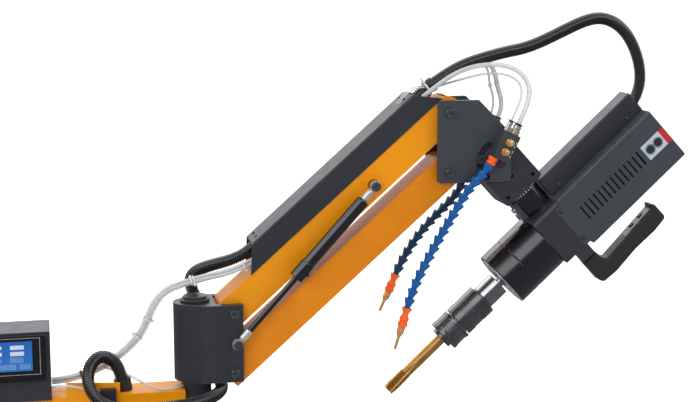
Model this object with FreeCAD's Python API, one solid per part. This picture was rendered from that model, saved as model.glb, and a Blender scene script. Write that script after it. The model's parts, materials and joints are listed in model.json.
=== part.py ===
import FreeCAD, Part
import math
import os

# Arm tapping machine, in millimetres, +Z up. The origin is on the column's axis at the underside of the
# base plate, +X runs along the first arm towards the head, and the arms' middle plane is Y = 0.

# Driving dimensions: what carries the arms
beam_bottom = 183.0
beam_height = 90.0
beam_width = 60.0
beam_wall = 4.0
first_arm_reach = 310.0
base_plate_width = 180.0
base_thickness = 16.0
base_corner = 12.0
base_bolt_spacing = 140.0
base_bolt_hole = 13.0
column_diameter = 70.0
column_flange_diameter = 120.0
column_flange_thickness = 14.0
column_weld = 6.0
journal_diameter = 35.0
column_bearing_outer = 62.0
column_bearing_width = 14.0
column_hub_diameter = 80.0
column_hub_drop = 5.0
column_hub_recess = 3.0
chamfer = 1.5

# Driving dimensions: elbow
elbow_hub_diameter = 50.0
elbow_hub_rise = 12.7
elbow_shaft_diameter = 25.0
elbow_bearing_outer = 47.0
elbow_bearing_width = 12.0
block_height = 130.0
block_width = 90.0
block_back = 36.0
block_front = 74.3
block_facet_start = 7.0
block_facet_end = 27.0
block_facet_inset = 23.0
block_slot_depth = 42.3
block_slot_width = 64.0
pivot_reach = 60.0
pivot_inset = 15.0
pivot_pin_diameter = 12.0
pivot_head_diameter = 16.0
pivot_head_height = 4.5
pivot_socket = 6.0
pivot_socket_depth = 2.5
cap_diameter = 49.0
cap_height = 5.0
cap_step_diameter = 40.0
cap_step_height = 4.5
cap_bolt_diameter = 8.0
cap_bolt_head = 14.0
cap_bolt_grip = 18.0
cap_recess = 3.0

# Driving dimensions: second arm
arm_length = 484.0
arm_angle = 41.5
arm_width = 63.0
arm_wall = 3.0
arm_above_pivot = 27.5
arm_below_pivot = 24.5
arm_end_radius = 24.5
lower_arm_above_pivot = 29.6
lower_arm_below_pivot = 23.5
lower_arm_back = 13.8
lower_arm_corner = 18.0
arm_bush_diameter = 22.0
cover_rise = 64.4
cover_lap = 1.5
cover_wall = 2.0
cover_bend = 3.0
cover_start_low = 61.8
cover_start_high = 99.5
cover_end_inset = 28.0
cover_end_reach = 7.0
tie_slot_length = 12.0
tie_slot_width = 4.0
tie_slot_inset = 12.0
tie_slot_offset = 14.0

# Driving dimensions: gas spring between the elbow block and the upper arm
spring_lower_forward = 3.7
spring_lower_drop = 49.2
spring_upper_along = 310.3
spring_upper_rise = -1.4
spring_plane = 52.0
spring_cylinder_diameter = 22.0
spring_rod_diameter = 10.0
spring_cylinder_start = 143.0
spring_cylinder_stop = 29.7
spring_rod_overlap = 60.0
spring_bore_diameter = 10.1
spring_eye_diameter = 18.0
spring_eye_width = 9.0
spring_socket_diameter = 13.0
spring_stud_diameter = 8.0
spring_stud_head = 16.0
spring_stud_head_height = 3.0
spring_boss_diameter = 30.0
spring_boss_hole = 19.0
spring_boss_height = 5.5

# Driving dimensions: head bracket and tilt block
bracket_back = 20.7
bracket_top = 20.8
bracket_length = 126.7
bracket_height = 137.5
bracket_chamfer = 57.5
bracket_corner = 5.0
bracket_thickness = 8.0
bracket_gap = 68.6
tilt_forward = 86.0
tilt_drop = 83.1
slot_radius = 34.0
slot_width = 12.0
slot_from = 124.0
slot_to = 228.0
lock_angle = 171.0
lock_bolt_diameter = 8.0
lock_head_diameter = 16.0
lock_head_height = 5.0
tilt_pin_diameter = 14.0
tilt_pin_head = 22.0
tilt_pin_head_height = 3.0
spacer_diameter = 12.0
upper_spacer_forward = 42.5
upper_spacer_rise = 6.3
lower_spacer_forward = 32.5
lower_spacer_rise = -12.7
lock_thread_depth = 14.0
head_angle = 47.3
tilt_width = 68.0
tilt_half_height = 40.0
tilt_back = 38.0
tilt_back_corner = 14.0
tilt_front = 71.0
tilt_corner = 5.0
tilt_hole = 6.6
tilt_hole_near = 36.0
tilt_hole_far = 59.0
tilt_hole_across = 29.0
tilt_hole_depth = 10.0

# Driving dimensions: machine head, along the swivel axis (v) and along the spindle (u)
ring_diameter = 64.0
ring_width = 5.0
hub_diameter = 57.0
hub_lug_width = 34.0
hub_lug_reach = 31.0
hub_lug_inset = 4.0
swivel_post_diameter = 34.0
gear_width = 100.0
gear_start = 117.0
gear_end = 212.0
gear_low = -31.0
gear_high = 26.0
gear_round = 10.0
cover_start = 117.6
cover_end = 220.6
skirt_low = 12.5
skirt_start = 127.0
motor_cover_high = 245.7
motor_cover_wall = 2.5
motor_cover_round = 4.0
motor_side = 80.0
motor_length = 150.0
motor_flange = 8.0
spindle_offset = 169.0
vent_count = 14
vent_pitch = 10.2
vent_length = 29.0
vent_width = 3.2
vent_start = 49.5
vent_centre = 168.7
cable_box_width = 40.0
cable_box_start = 80.0
cable_box_low = 31.0
cable_box_high = 246.0
cable_box_wall = 2.0
cable_box_round = 3.0
conduit_hole_forward = 104.2
conduit_hole_lean = 23.0
gearbox_diameter = 104.0
gearbox_length = 98.0
gearbox_round = 4.0
gearbox_groove_at = 59.0
gearbox_groove_width = 2.0
gearbox_groove_depth = 1.2
gearbox_bore_depth = 24.0

# Driving dimensions: spindle, quick-change chuck and tap
spindle_shaft_diameter = 18.0
spindle_neck = 8.0
collar_diameter = 42.0
collar_length = 36.0
collar_ring_depth = 0.8
sleeve_diameter = 56.0
sleeve_length = 58.0
sleeve_gap = 2.0
chuck_diameter = 57.5
chuck_length = 34.0
flange_diameter = 38.0
flange_length = 6.0
tap_shank_diameter = 18.0
tap_grip = 30.0
tap_reach = 126.0
thread_diameter = 22.0
thread_length = 42.0
flute_count = 4
flute_diameter = 8.0
groove_depth = 1.0
groove_width = 2.5

# Driving dimensions: handle
tongue_thickness = 20.0
tongue_low = -4.0
tongue_high = 23.5
tongue_end = 250.4
grip_width = 30.0
grip_round = 3.0
grip_depth = 51.8
grip_height = 159.9
grip_throat = 9.2
grip_outline_shares = ((0.842, 0.0, 0.077), (0.961, 0.029, 0.058), (1.0, 0.212, 0.386), (0.902, 0.52, 0.579),
                       (0.919, 0.809, 0.579), (0.842, 1.0, 0.135), (0.243, 0.998, 0.077),
                       (0.098, 0.96, 0.029), (0.247, 0.938, 0.058), (0.421, 0.222, 0.097))
button_plate_length = 61.0
button_plate_start = 82.0
button_plate_width = 20.0
button_plate_thickness = 1.5
button_diameter = 10.0
button_height = 3.5
button_depth = 6.0
button_first = 102.9
button_pitch = 22.4

# Driving dimensions: coolant valve blocks and jointed hoses
valve_forward = 89.6
valve_drop = 55.1
valve_lean = 25.6
valve_width = 28.0
valve_length = 48.0
valve_depth = 28.0
upper_knob_rise = 8.0
lower_knob_rise = -9.0
knob_across = -1.0
knob_diameter = 10.0
knob_hex = 12.0
knob_collar = 5.0
knob_length = 10.0
knob_stem_diameter = 5.0
knob_stem = 8.0
small_fitting = 9.5
large_fitting = 15.5
small_fitting_across = -8.4
large_fitting_across = 5.4
fitting_length = 13.0
fitting_ring = 2.0
outlet_across = -8.9
link_pitch = 14.0
link_gap = 0.4
link_rim = 15.0
link_neck = 9.0
link_rim_width = 3.5
connector_diameter = 17.0
connector_length = 15.0
nozzle_length = 26.0
nozzle_tip = 9.0
brass_diameter = 6.0
brass_length = 44.0

# Driving dimensions: control box
box_width = 138.0
box_centre = 5.0
box_depth = 80.0
box_lower_height = 25.5
box_height = 114.0
box_wall = 2.5
box_corner = 3.0
bezel_width = 128.0
bezel_height = 78.0
bezel_low = 32.0
bezel_depth = 4.0
bezel_corner = 5.0
screen_width = 112.0
screen_height = 60.0
screen_low = 44.0
screen_thickness = 2.0
switch_length = 19.0
switch_width = 12.0
switch_depth = 9.0
switch_play = 0.8
switch_place = 38.0
switch_pin_diameter = 3.0
switch_pin_reach = 0.5
inlet_place = -20.0
inlet_length = 30.0
inlet_width = 22.0
inlet_depth = 5.0
inlet_hole_length = 24.0
inlet_hole_width = 16.0
socket_height = 20.0

# Driving dimensions: cable fittings on the first arm
tab_start = 97.0
tab_end = 183.0
tab_height = 24.5
tab_slope = 5.0
tab_thickness = 3.0
manifold_start = 150.0
manifold_end = 176.0
manifold_depth = 12.0
manifold_top = 12.0
manifold_bottom = -24.0
gland_diameter = 28.0
gland_length = 10.0

# Driving dimensions: conduit and tubes
conduit_diameter = 21.2
conduit_root = 17.6
conduit_bore = 14.0
bundle_diameter = 13.0
large_tube_diameter = 8.0
small_tube_diameter = 4.0

# Clearances and cutting aids
running_fit = 0.05
face_gap = 0.3
overrun = 2.0
least_edge = 0.1
arc_share = 0.45
rib_shares = (0.0, 0.3, 0.5, 0.8)
bore_station = 24.0
elbow_lower_ribs = 20
elbow_upper_ribs = 9
head_ribs = (7, 5, 12)

# Places worked out from the driving dimensions
beam_top = beam_bottom + beam_height
cover_end_high = arm_length - cover_end_inset
cover_end_low = arm_length + cover_end_reach
block_bottom = beam_top + elbow_hub_rise + face_gap
block_top = block_bottom + block_height
pivot_x = first_arm_reach + pivot_reach
slope = math.radians(arm_angle)
vec = FreeCAD.Vector
upper_pivot = vec(pivot_x, 0, block_top - pivot_inset)
lower_pivot = vec(pivot_x, 0, block_bottom + pivot_inset)
arm_run = vec(arm_length * math.cos(slope), 0, arm_length * math.sin(slope))
upper_head_pivot = upper_pivot + arm_run
lower_head_pivot = lower_pivot + arm_run
tilt_pivot = upper_head_pivot + vec(tilt_forward, 0, -tilt_drop)
spring_lower = upper_pivot + vec(spring_lower_forward, 0, -spring_lower_drop)
bracket_outer = bracket_gap / 2 + bracket_thickness
side = vec(0, 1, 0)
upwards = vec(0, 0, 1)

arm_place = FreeCAD.Placement(upper_pivot, FreeCAD.Rotation(side, -arm_angle))
lower_arm_place = FreeCAD.Placement(lower_pivot, FreeCAD.Rotation(side, -arm_angle))
head_place = FreeCAD.Placement(tilt_pivot, FreeCAD.Rotation(side, head_angle))
valve_centre = upper_head_pivot + vec(valve_forward, 0, -valve_drop)
valve_place = FreeCAD.Placement(valve_centre, FreeCAD.Rotation(side, valve_lean))
spring_upper = arm_place.multVec(vec(spring_upper_along, 0, spring_upper_rise))

parts = {}


# Shape helpers
def cuboid(x, y, z):
    """Box between pairs of low and high values."""
    return Part.makeBox(x[1] - x[0], y[1] - y[0], z[1] - z[0], vec(x[0], y[0], z[0]))


def cylinder(diameter, start, end):
    """Round bar from one point to another."""
    return Part.makeCylinder(diameter / 2, (end - start).Length, start, end - start)


def ring(outer, inner, start, end):
    """Tube from one point to another, its bore cut past both ends."""
    step = (end - start).normalize() * overrun
    return cylinder(outer, start, end).cut(cylinder(inner, start - step, end + step))


def outline(corners, lift):
    """Closed wire through (a, b, radius) corners; lift turns (a, b) into a point in space."""
    stations = []
    for index, (a, b, radius) in enumerate(corners):
        corner = vec(a, b, 0)
        before = vec(*corners[index - 1][:2], 0) - corner
        after = vec(*corners[(index + 1) % len(corners)][:2], 0) - corner
        before.normalize()
        after.normalize()
        half = before.getAngle(after) / 2
        cut = radius / math.tan(half)
        middle = corner + (before + after).normalize() * (radius / math.sin(half) - radius)
        stations.append((corner + before * cut, middle, corner + after * cut, radius))
    edges = []
    for index, (enter, middle, leave, radius) in enumerate(stations):
        if radius:
            edges.append(Part.Arc(*(lift(p.x, p.y) for p in (enter, middle, leave))).toShape())
        ahead = stations[(index + 1) % len(stations)][0]
        if (ahead - leave).Length > least_edge:
            edges.append(Part.LineSegment(lift(leave.x, leave.y), lift(ahead.x, ahead.y)).toShape())
    return Part.Wire(edges)


def plate_y(corners, low, high):
    """Plate from an outline in X and Z, between two Y values."""
    wire = outline(corners, lambda a, b: vec(a, low, b))
    return Part.Face(wire).extrude(vec(0, high - low, 0))


def plate_z(corners, low, high):
    """Plate from an outline in X and Y, between two Z values."""
    wire = outline(corners, lambda a, b: vec(a, b, low))
    return Part.Face(wire).extrude(vec(0, 0, high - low))


def plate_x(corners, low, high):
    """Plate from an outline in Y and Z, between two X values."""
    wire = outline(corners, lambda a, b: vec(low, a, b))
    return Part.Face(wire).extrude(vec(high - low, 0, 0))


def rectangle(a, b, radius=0.0):
    """Corners of a rectangle between pairs of low and high values."""
    return [(a[0], b[0], radius), (a[1], b[0], radius), (a[1], b[1], radius), (a[0], b[1], radius)]


def span(centre, size):
    """Low and high values of a size set about a centre."""
    return (centre - size / 2, centre + size / 2)


def grown(pair, amount):
    """A pair of low and high values moved outwards."""
    return (pair[0] - amount, pair[1] + amount)


def turned(profile):
    """Solid of revolution about Z from (radius, height) points."""
    points = [vec(radius, 0, height) for radius, height in profile]
    wire = Part.makePolygon(points + points[:1])
    return Part.Face(wire).revolve(vec(0, 0, 0), upwards, 360)


def placed(shape, placement):
    """A copy of a shape carried from its own frame to the model's."""
    copy = shape.copy()
    copy.Placement = placement.multiply(shape.Placement)
    return copy


def join(*shapes):
    """One solid from touching shapes."""
    return shapes[0].multiFuse(list(shapes[1:])).removeSplitter()


def chamfered(shape, size, test):
    """Chamfer the edges that a test picks."""
    return shape.makeChamfer(size, [edge for edge in shape.Edges if test(edge)])


def is_circle(edge, diameter):
    return isinstance(edge.Curve, Part.Circle) and abs(2 * edge.Curve.Radius - diameter) < running_fit


def hex_bar(across, start, end):
    """Hexagonal bar from one point to another."""
    radius = across / math.sqrt(3)
    corners = [(radius * math.cos(math.radians(60 * k)), radius * math.sin(math.radians(60 * k)), 0.0)
               for k in range(6)]
    bar = plate_z(corners, 0, (end - start).Length)
    return placed(bar, FreeCAD.Placement(start, FreeCAD.Rotation(upwards, end - start)))


def bolt(shank, start, end, head, height, socket, depth):
    """Socket bolt: the head stands beyond start and the shank ends at end."""
    out = (start - end).normalize()
    body = join(cylinder(shank, start, end), cylinder(head, start, start + out * height))
    return body.cut(hex_bar(socket, start + out * (height - depth), start + out * (height + overrun)))


class Route:
    """A cord's path: straight runs joined by tangent arcs through points chosen by hand.

    The points are places in the model, or steps from an origin."""

    def __init__(self, name, points, origin=None):
        corners = [vec(*point) + (origin or vec(0, 0, 0)) for point in points]
        self.pieces = []
        radii = []
        cursor = corners[0]
        for before, corner, after in zip(corners, corners[1:], corners[2:]):
            back = before - corner
            ahead = after - corner
            cut = arc_share * min(back.Length, ahead.Length)
            turn = math.pi - back.getAngle(ahead)
            radius = cut / math.tan(turn / 2)
            radii.append(radius)
            back.normalize()
            ahead.normalize()
            enter = corner + back * cut
            leave = corner + ahead * cut
            inward = (back + ahead).normalize()
            middle = corner + inward * (radius / math.cos(turn / 2) - radius)
            centre = corner + inward * (radius / math.cos(turn / 2))
            self.pieces.append((Part.LineSegment(cursor, enter), (enter - cursor).Length))
            self.pieces.append((Part.Arc(enter, middle, leave), radius * turn))
            cursor = leave
        self.pieces.append((Part.LineSegment(cursor, corners[-1]), (corners[-1] - cursor).Length))
        self.length = sum(length for _, length in self.pieces)
        print(name, "length", round(self.length), "least radius", round(min(radii)),
              "radii", [round(radius) for radius in radii])

    def at(self, distance):
        """Point and direction at a distance along the path."""
        for curve, length in self.pieces:
            if distance <= length or curve is self.pieces[-1][0]:
                break
            distance -= length
        first, last = curve.FirstParameter, curve.LastParameter
        parameter = first + (last - first) * distance / length
        direction = curve.tangent(parameter)[0]
        return curve.value(parameter), direction.normalize()

    def tube(self, diameter):
        """Plain solid tube along the whole path."""
        path = Part.Wire([curve.toShape() for curve, _ in self.pieces])
        start, direction = self.at(0)
        profile = Part.Wire(Part.makeCircle(diameter / 2, start, direction))
        solid = path.makePipeShell([profile], True, False)
        expected = math.pi * diameter ** 2 / 4 * self.length
        print("  tube volume over section times length", round(solid.Volume / expected, 4))
        return solid

    def loft(self, sections, extend=0.0):
        """Ruled loft through circles given as (distance, diameter)."""
        across = self.at(0)[1].cross(upwards + side)
        wires = []
        for distance, diameter in sections:
            centre, direction = self.at(min(max(distance, 0), self.length))
            centre += direction * (min(distance, 0) + max(distance - self.length, 0))
            across = (across - direction * across.dot(direction)).normalize()
            turn = FreeCAD.Rotation(across, direction.cross(across), direction, "ZXY")
            circle = Part.Wire(Part.makeCircle(diameter / 2))
            circle.Placement = FreeCAD.Placement(centre, turn)
            wires.append(circle)
        return Part.makeLoft(wires, True, True)

    def ribbed(self, ribs):
        """Corrugated conduit with its bore, straight for one diameter at both ends."""
        plain = conduit_diameter / 2
        pitch = (self.length - 2 * plain) / ribs
        sections = [(0, conduit_root)]
        for rib in range(ribs):
            for share, diameter in zip(rib_shares, (conduit_root, conduit_root, conduit_diameter,
                                                    conduit_diameter)):
                sections.append((plain + (rib + share) * pitch, diameter))
        sections.append((self.length - plain, conduit_root))
        sections.append((self.length, conduit_root))
        stations = max(2, round(self.length / bore_station))
        bore = [(self.length * step / stations, conduit_bore) for step in range(1, stations)]
        bore = [(-overrun, conduit_bore)] + bore + [(self.length + overrun, conduit_bore)]
        return self.loft(sections).cut(self.loft(bore))


# Base and column
def make_base_plate():
    half = base_plate_width / 2
    plate = plate_z(rectangle((-half, half), (-half, half), base_corner), 0, base_thickness)
    for x in (-base_bolt_spacing / 2, base_bolt_spacing / 2):
        for y in (-base_bolt_spacing / 2, base_bolt_spacing / 2):
            hole = cylinder(base_bolt_hole, vec(x, y, -overrun), vec(x, y, base_thickness + overrun))
            plate = plate.cut(hole)
    return plate


column_shoulder = beam_bottom - column_hub_drop - face_gap
column_top = beam_top - column_hub_recess


def make_column_post():
    flange_top = base_thickness + column_flange_thickness
    body = column_diameter / 2
    flange = column_flange_diameter / 2
    journal = journal_diameter / 2
    return turned([(0, base_thickness), (flange, base_thickness), (flange, flange_top - chamfer),
                   (flange - chamfer, flange_top), (body + column_weld, flange_top),
                   (body, flange_top + column_weld), (body, column_shoulder - chamfer),
                   (body - chamfer, column_shoulder), (journal, column_shoulder),
                   (journal, column_top - chamfer), (journal - chamfer, column_top), (0, column_top)])


def make_column_bearings():
    low = beam_bottom - column_hub_drop
    rings = []
    for start in (low, column_top - column_bearing_width):
        rings.append(ring(column_bearing_outer, journal_diameter + 2 * running_fit,
                          vec(0, 0, start), vec(0, 0, start + column_bearing_width)))
    return Part.makeCompound(rings)


# First arm
def make_first_arm_beam():
    low = beam_bottom - column_hub_drop
    half = beam_width / 2
    end = first_arm_reach - elbow_hub_diameter / 2 + beam_wall
    tube = cuboid((0, end), (-half, half), (beam_bottom, beam_top))
    hollow = cuboid((-overrun, end - 2 * beam_wall), (-half + beam_wall, half - beam_wall),
                    (beam_bottom + beam_wall, beam_top - beam_wall))
    tube = tube.cut(hollow)
    tube = tube.cut(cylinder(column_hub_diameter, vec(0, 0, low), vec(0, 0, beam_top + overrun)))
    tube = tube.cut(cylinder(elbow_hub_diameter, vec(first_arm_reach, 0, low),
                             vec(first_arm_reach, 0, beam_top + overrun)))
    hub = ring(column_hub_diameter, column_bearing_outer - 2 * beam_wall, vec(0, 0, low),
               vec(0, 0, column_top))
    for start in (low, column_top - column_bearing_width):
        hub = hub.cut(cylinder(column_bearing_outer, vec(0, 0, start),
                               vec(0, 0, start + column_bearing_width)))
    return join(hub, tube)


def make_elbow_hub():
    foot = vec(first_arm_reach, 0, beam_bottom)
    head = vec(first_arm_reach, 0, beam_top + elbow_hub_rise)
    return ring(elbow_hub_diameter, elbow_shaft_diameter, foot, head)


def make_elbow_shaft():
    radius = elbow_shaft_diameter / 2
    hole = cap_bolt_diameter / 2
    top = block_top + face_gap
    shaft = turned([(0, beam_bottom), (radius - chamfer, beam_bottom), (radius, beam_bottom + chamfer),
                    (radius, top), (hole, top), (hole, top - cap_bolt_grip), (0, top - cap_bolt_grip)])
    return shaft.translated(vec(first_arm_reach, 0, 0))


def make_elbow_cap():
    seat = block_top + face_gap
    step = seat + cap_height
    top = step + cap_step_height
    outer = cap_diameter / 2
    inner = cap_step_diameter / 2
    hole = cap_bolt_diameter / 2
    head = cap_bolt_head / 2 + face_gap
    disc = turned([(hole, seat), (outer - chamfer, seat), (outer, seat + chamfer), (outer, step - chamfer),
                   (outer - chamfer, step), (inner, step), (inner, top - chamfer), (inner - chamfer, top),
                   (head, top), (head, top - cap_recess), (hole, top - cap_recess)])
    axis = vec(first_arm_reach, 0, 0)
    screw = bolt(cap_bolt_diameter, axis + upwards * (top - cap_recess),
                 axis + upwards * (seat - cap_bolt_grip), cap_bolt_head, cap_recess + chamfer, pivot_socket,
                 pivot_socket_depth)
    return Part.makeCompound([disc.translated(axis), screw])


def make_cable_tab():
    face = -beam_width / 2
    corners = [(tab_start, beam_top, 0.0), (tab_end, beam_top, 0.0),
               (tab_end, beam_top + tab_height - tab_slope, 0.0), (tab_start, beam_top + tab_height, 0.0)]
    return plate_y(corners, face, face + tab_thickness)


def make_cable_entries():
    face = -beam_width / 2
    manifold = plate_y(rectangle((manifold_start, manifold_end),
                                 (beam_top + manifold_bottom, beam_top + manifold_top), chamfer),
                       face - manifold_depth, face)
    start, direction = elbow_conduit_lower.at(0)
    gland = ring(gland_diameter, conduit_root + 2 * face_gap, start - direction * gland_length,
                 start + direction * gland_length)
    gland = gland.cut(cuboid(span(start.x, 2 * gland_diameter), span(start.y, 2 * gland_diameter),
                             (start.z - 2 * gland_diameter, beam_top)))
    rear = box_depth / 2
    middle = beam_top + box_lower_height + socket_height
    inlet = plate_y(rectangle(span(inlet_place, inlet_length), span(middle, inlet_width), chamfer),
                    rear, rear + box_wall)
    body = rectangle(span(inlet_place, inlet_hole_length), span(middle, inlet_hole_width))
    inlet = join(inlet, plate_y(body, rear - inlet_depth - 2 * box_wall, rear + box_wall))
    hole = plate_y(rectangle(span(inlet_place, inlet_hole_length - 2 * chamfer),
                             span(middle, inlet_hole_width - 2 * chamfer), chamfer),
                   rear - inlet_depth, rear + box_wall + overrun)
    return Part.makeCompound([manifold, gland, inlet.cut(hole)])


# Control box
box_x = span(box_centre, box_width)
box_y = span(0.0, box_depth)


def make_control_box_base():
    top = beam_top + box_lower_height
    shell = plate_z(rectangle(box_x, box_y, box_corner), beam_top, top)
    return shell.cut(cuboid(grown(box_x, -box_wall), grown(box_y, -box_wall),
                            (beam_top + box_wall, top + overrun)))


def make_control_box_cover():
    low = beam_top + box_lower_height
    top = beam_top + box_height
    shell = plate_y(rectangle(box_x, (low - box_corner, top), box_corner), *box_y)
    shell = shell.cut(cuboid(grown(box_x, overrun), grown(box_y, overrun), (low - 2 * box_corner, low)))
    shell = shell.cut(cuboid(grown(box_x, -box_wall), grown(box_y, -box_wall),
                             (low - overrun, top - box_wall)))
    window = cuboid(span(box_centre, screen_width), (box_y[0] - overrun, box_y[0] + 2 * box_wall),
                    (beam_top + screen_low, beam_top + screen_low + screen_height))
    middle = low + socket_height
    rear = (box_y[1] - 2 * box_wall, box_y[1] + overrun)
    inlet = cuboid(span(inlet_place, inlet_hole_length), rear, span(middle, inlet_hole_width))
    switch = cuboid(span(switch_place, switch_length + 2 * switch_play), rear,
                    span(middle, switch_width + 2 * switch_play))
    return shell.cut(window).cut(inlet).cut(switch)


def make_screen_bezel():
    low = beam_top + bezel_low
    bezel = plate_y(rectangle(span(box_centre, bezel_width), (low, low + bezel_height), bezel_corner),
                    box_y[0] - bezel_depth, box_y[0])
    recess = rectangle(span(box_centre, screen_width),
                       (beam_top + screen_low, beam_top + screen_low + screen_height))
    return bezel.cut(plate_y(recess, box_y[0] - bezel_depth - overrun, box_y[0] + overrun))


def make_touch_screen():
    corners = rectangle(grown(span(box_centre, screen_width), -face_gap),
                        grown((beam_top + screen_low, beam_top + screen_low + screen_height), -face_gap))
    front = box_y[0] - bezel_depth + chamfer
    return plate_y(corners, front, front + screen_thickness)


def make_power_switch():
    middle = beam_top + box_lower_height + socket_height
    rear = box_y[1]
    half = switch_length / 2
    rise = switch_width / 4
    corners = [(-half, rear - switch_depth, 0.0), (half, rear - switch_depth, 0.0), (half, rear + rise, 0.0),
               (0.0, rear + chamfer / 2, 0.0), (-half, rear + rise, 0.0)]
    rocker = plate_z(corners, -switch_width / 2, switch_width / 2)
    reach = upwards * (switch_width / 2 + switch_pin_reach)
    axis = vec(0, rear - switch_depth / 2, 0)
    rocker = join(rocker, cylinder(switch_pin_diameter, axis - reach, axis + reach))
    return rocker.translated(vec(switch_place, 0, middle))


# Elbow block, its bearings and pins
def make_elbow_block():
    x = first_arm_reach
    half = block_width / 2
    front = x + block_front
    facet = half - block_facet_inset
    back = x - block_facet_end
    corners = [(front, -half, 0.0), (front, half, 0.0), (x + block_facet_start, half, 0.0),
               (back, facet, 0.0)]
    edges = []
    for start, end in zip(corners, corners[1:]):
        edges.append(Part.LineSegment(vec(*start[:2], block_bottom), vec(*end[:2], block_bottom)).toShape())
    edges.append(Part.Arc(vec(back, facet, block_bottom), vec(x - block_back, 0, block_bottom),
                          vec(back, -facet, block_bottom)).toShape())
    edges.append(Part.LineSegment(vec(back, -facet, block_bottom),
                                  vec(x + block_facet_start, -half, block_bottom)).toShape())
    edges.append(Part.LineSegment(vec(x + block_facet_start, -half, block_bottom),
                                  vec(front, -half, block_bottom)).toShape())
    block = Part.Face(Part.Wire(edges)).extrude(vec(0, 0, block_height))
    slot = block_slot_width / 2
    block = block.cut(cuboid((front - block_slot_depth, front + overrun), (-slot, slot),
                             (block_bottom - overrun, block_top + overrun)))
    axis = vec(x, 0, 0)
    block = block.cut(cylinder(elbow_bearing_outer - 2 * beam_wall, axis + upwards * (block_bottom - overrun),
                               axis + upwards * (block_top + overrun)))
    for start in (block_bottom, block_top - elbow_bearing_width):
        block = block.cut(cylinder(elbow_bearing_outer, axis + upwards * start,
                                   axis + upwards * (start + elbow_bearing_width)))
    reach = half + overrun
    for pivot in (upper_pivot, lower_pivot):
        block = block.cut(cylinder(pivot_pin_diameter, pivot - side * reach, pivot + side * reach))
    return block.cut(cylinder(spring_stud_diameter, spring_lower - side * reach, spring_lower - side * slot))


def make_elbow_bearings():
    axis = vec(first_arm_reach, 0, 0)
    rings = []
    for start in (block_bottom, block_top - elbow_bearing_width):
        rings.append(ring(elbow_bearing_outer, elbow_shaft_diameter + 2 * running_fit, axis + upwards * start,
                          axis + upwards * (start + elbow_bearing_width)))
    return Part.makeCompound(rings)


def pivot_pin(pivot, half):
    """Pin through two cheeks with a socket head on the front and a nut on the back."""
    pin = bolt(pivot_pin_diameter, pivot - side * half, pivot + side * half, pivot_head_diameter,
               pivot_head_height, pivot_socket, pivot_socket_depth)
    nut = hex_bar(pivot_head_diameter, pivot + side * half, pivot + side * (half + pivot_head_height))
    return join(pin, nut)


def make_elbow_pins():
    half = block_width / 2
    slot = block_slot_width / 2
    outer = spring_plane + spring_eye_width / 2 + face_gap
    stud = bolt(spring_stud_diameter, spring_lower - side * outer, spring_lower - side * slot,
                spring_stud_head, spring_stud_head_height, pivot_socket, pivot_socket_depth / 2)
    washer = ring(spring_socket_diameter, spring_stud_diameter, spring_lower - side * half,
                  spring_lower - side * (spring_plane - spring_eye_width / 2 - face_gap))
    return Part.makeCompound([pivot_pin(upper_pivot, half), pivot_pin(lower_pivot, half), join(stud, washer)])


# Second arm: upper channel, lower channel and cable cover, each built with its link along X
def channel(corners, top):
    """Inverted channel cut from an outline: two sides and a top, with a bush through each end."""
    half = arm_width / 2
    body = plate_y(corners, -half, half)
    inner = half - arm_wall
    body = body.cut(cuboid((-arm_length, 2 * arm_length), (-inner, inner), (-arm_length, top - arm_wall)))
    ends = ((0, half), (arm_length, bracket_gap / 2 - face_gap))
    for x, reach in ends:
        body = body.fuse(cylinder(arm_bush_diameter, vec(x, -reach, 0), vec(x, reach, 0)))
    body = body.removeSplitter()
    for x, reach in ends:
        body = body.cut(cylinder(pivot_pin_diameter + 2 * running_fit, vec(x, -reach - overrun, 0),
                                 vec(x, reach + overrun, 0)))
    return body


def make_upper_arm():
    low, high, end = -arm_below_pivot, arm_above_pivot, arm_end_radius
    corners = rectangle((-end, arm_length + end), (low, high), end - running_fit)
    body = channel(corners, high)
    half = arm_width / 2
    centre = vec(spring_upper_along, -half, spring_upper_rise)
    boss = ring(spring_boss_diameter, spring_boss_hole, centre - side * spring_boss_height, centre)
    body = body.cut(cylinder(spring_boss_hole, centre - side * overrun, centre + side * 2 * arm_wall))
    return placed(join(body, boss), arm_place)


def make_lower_arm():
    end = arm_length + arm_end_radius
    low, high = -lower_arm_below_pivot, lower_arm_above_pivot
    corners = [(-lower_arm_back, low, 0.0), (end, low, lower_arm_corner), (end, high, arm_end_radius),
               (-lower_arm_back, high, lower_arm_corner)]
    return placed(channel(corners, lower_arm_above_pivot), lower_arm_place)


def make_cable_cover():
    inner = arm_width / 2 + face_gap
    outer = inner + cover_wall
    low = arm_above_pivot - cover_lap
    ends = (cover_start_low, cover_end_low)
    shell = plate_x([(-outer, low, 0.0), (outer, low, 0.0), (outer, cover_rise, cover_bend),
                     (-outer, cover_rise, cover_bend)], *ends)
    hollow = plate_x([(-inner, low - overrun, 0.0), (inner, low - overrun, 0.0),
                      (inner, cover_rise - cover_wall, cover_bend - cover_wall),
                      (-inner, cover_rise - cover_wall, cover_bend - cover_wall)], *grown(ends, overrun))
    shell = shell.cut(hollow)
    trim = plate_y([(cover_start_low, low, 0.0), (cover_end_low, low, 0.0), (cover_end_high, cover_rise, 0.0),
                    (cover_start_high, cover_rise, 0.0)], -outer - overrun, outer + overrun)
    shell = shell.common(trim)
    for x in (cover_start_high + tie_slot_inset, cover_end_high - tie_slot_inset):
        for y in (-tie_slot_offset, tie_slot_offset):
            shell = shell.cut(cuboid(span(x, tie_slot_width), span(y, tie_slot_length),
                                     (cover_rise - 2 * cover_wall, cover_rise + overrun)))
    return placed(shell, arm_place)


# Gas spring: the rod turns on the elbow block, the cylinder slides on the rod
spring_axis = (spring_upper - spring_lower).normalize()
spring_start = spring_lower - side * spring_plane
spring_end = spring_upper - side * spring_plane
spring_length = (spring_end - spring_start).Length


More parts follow.
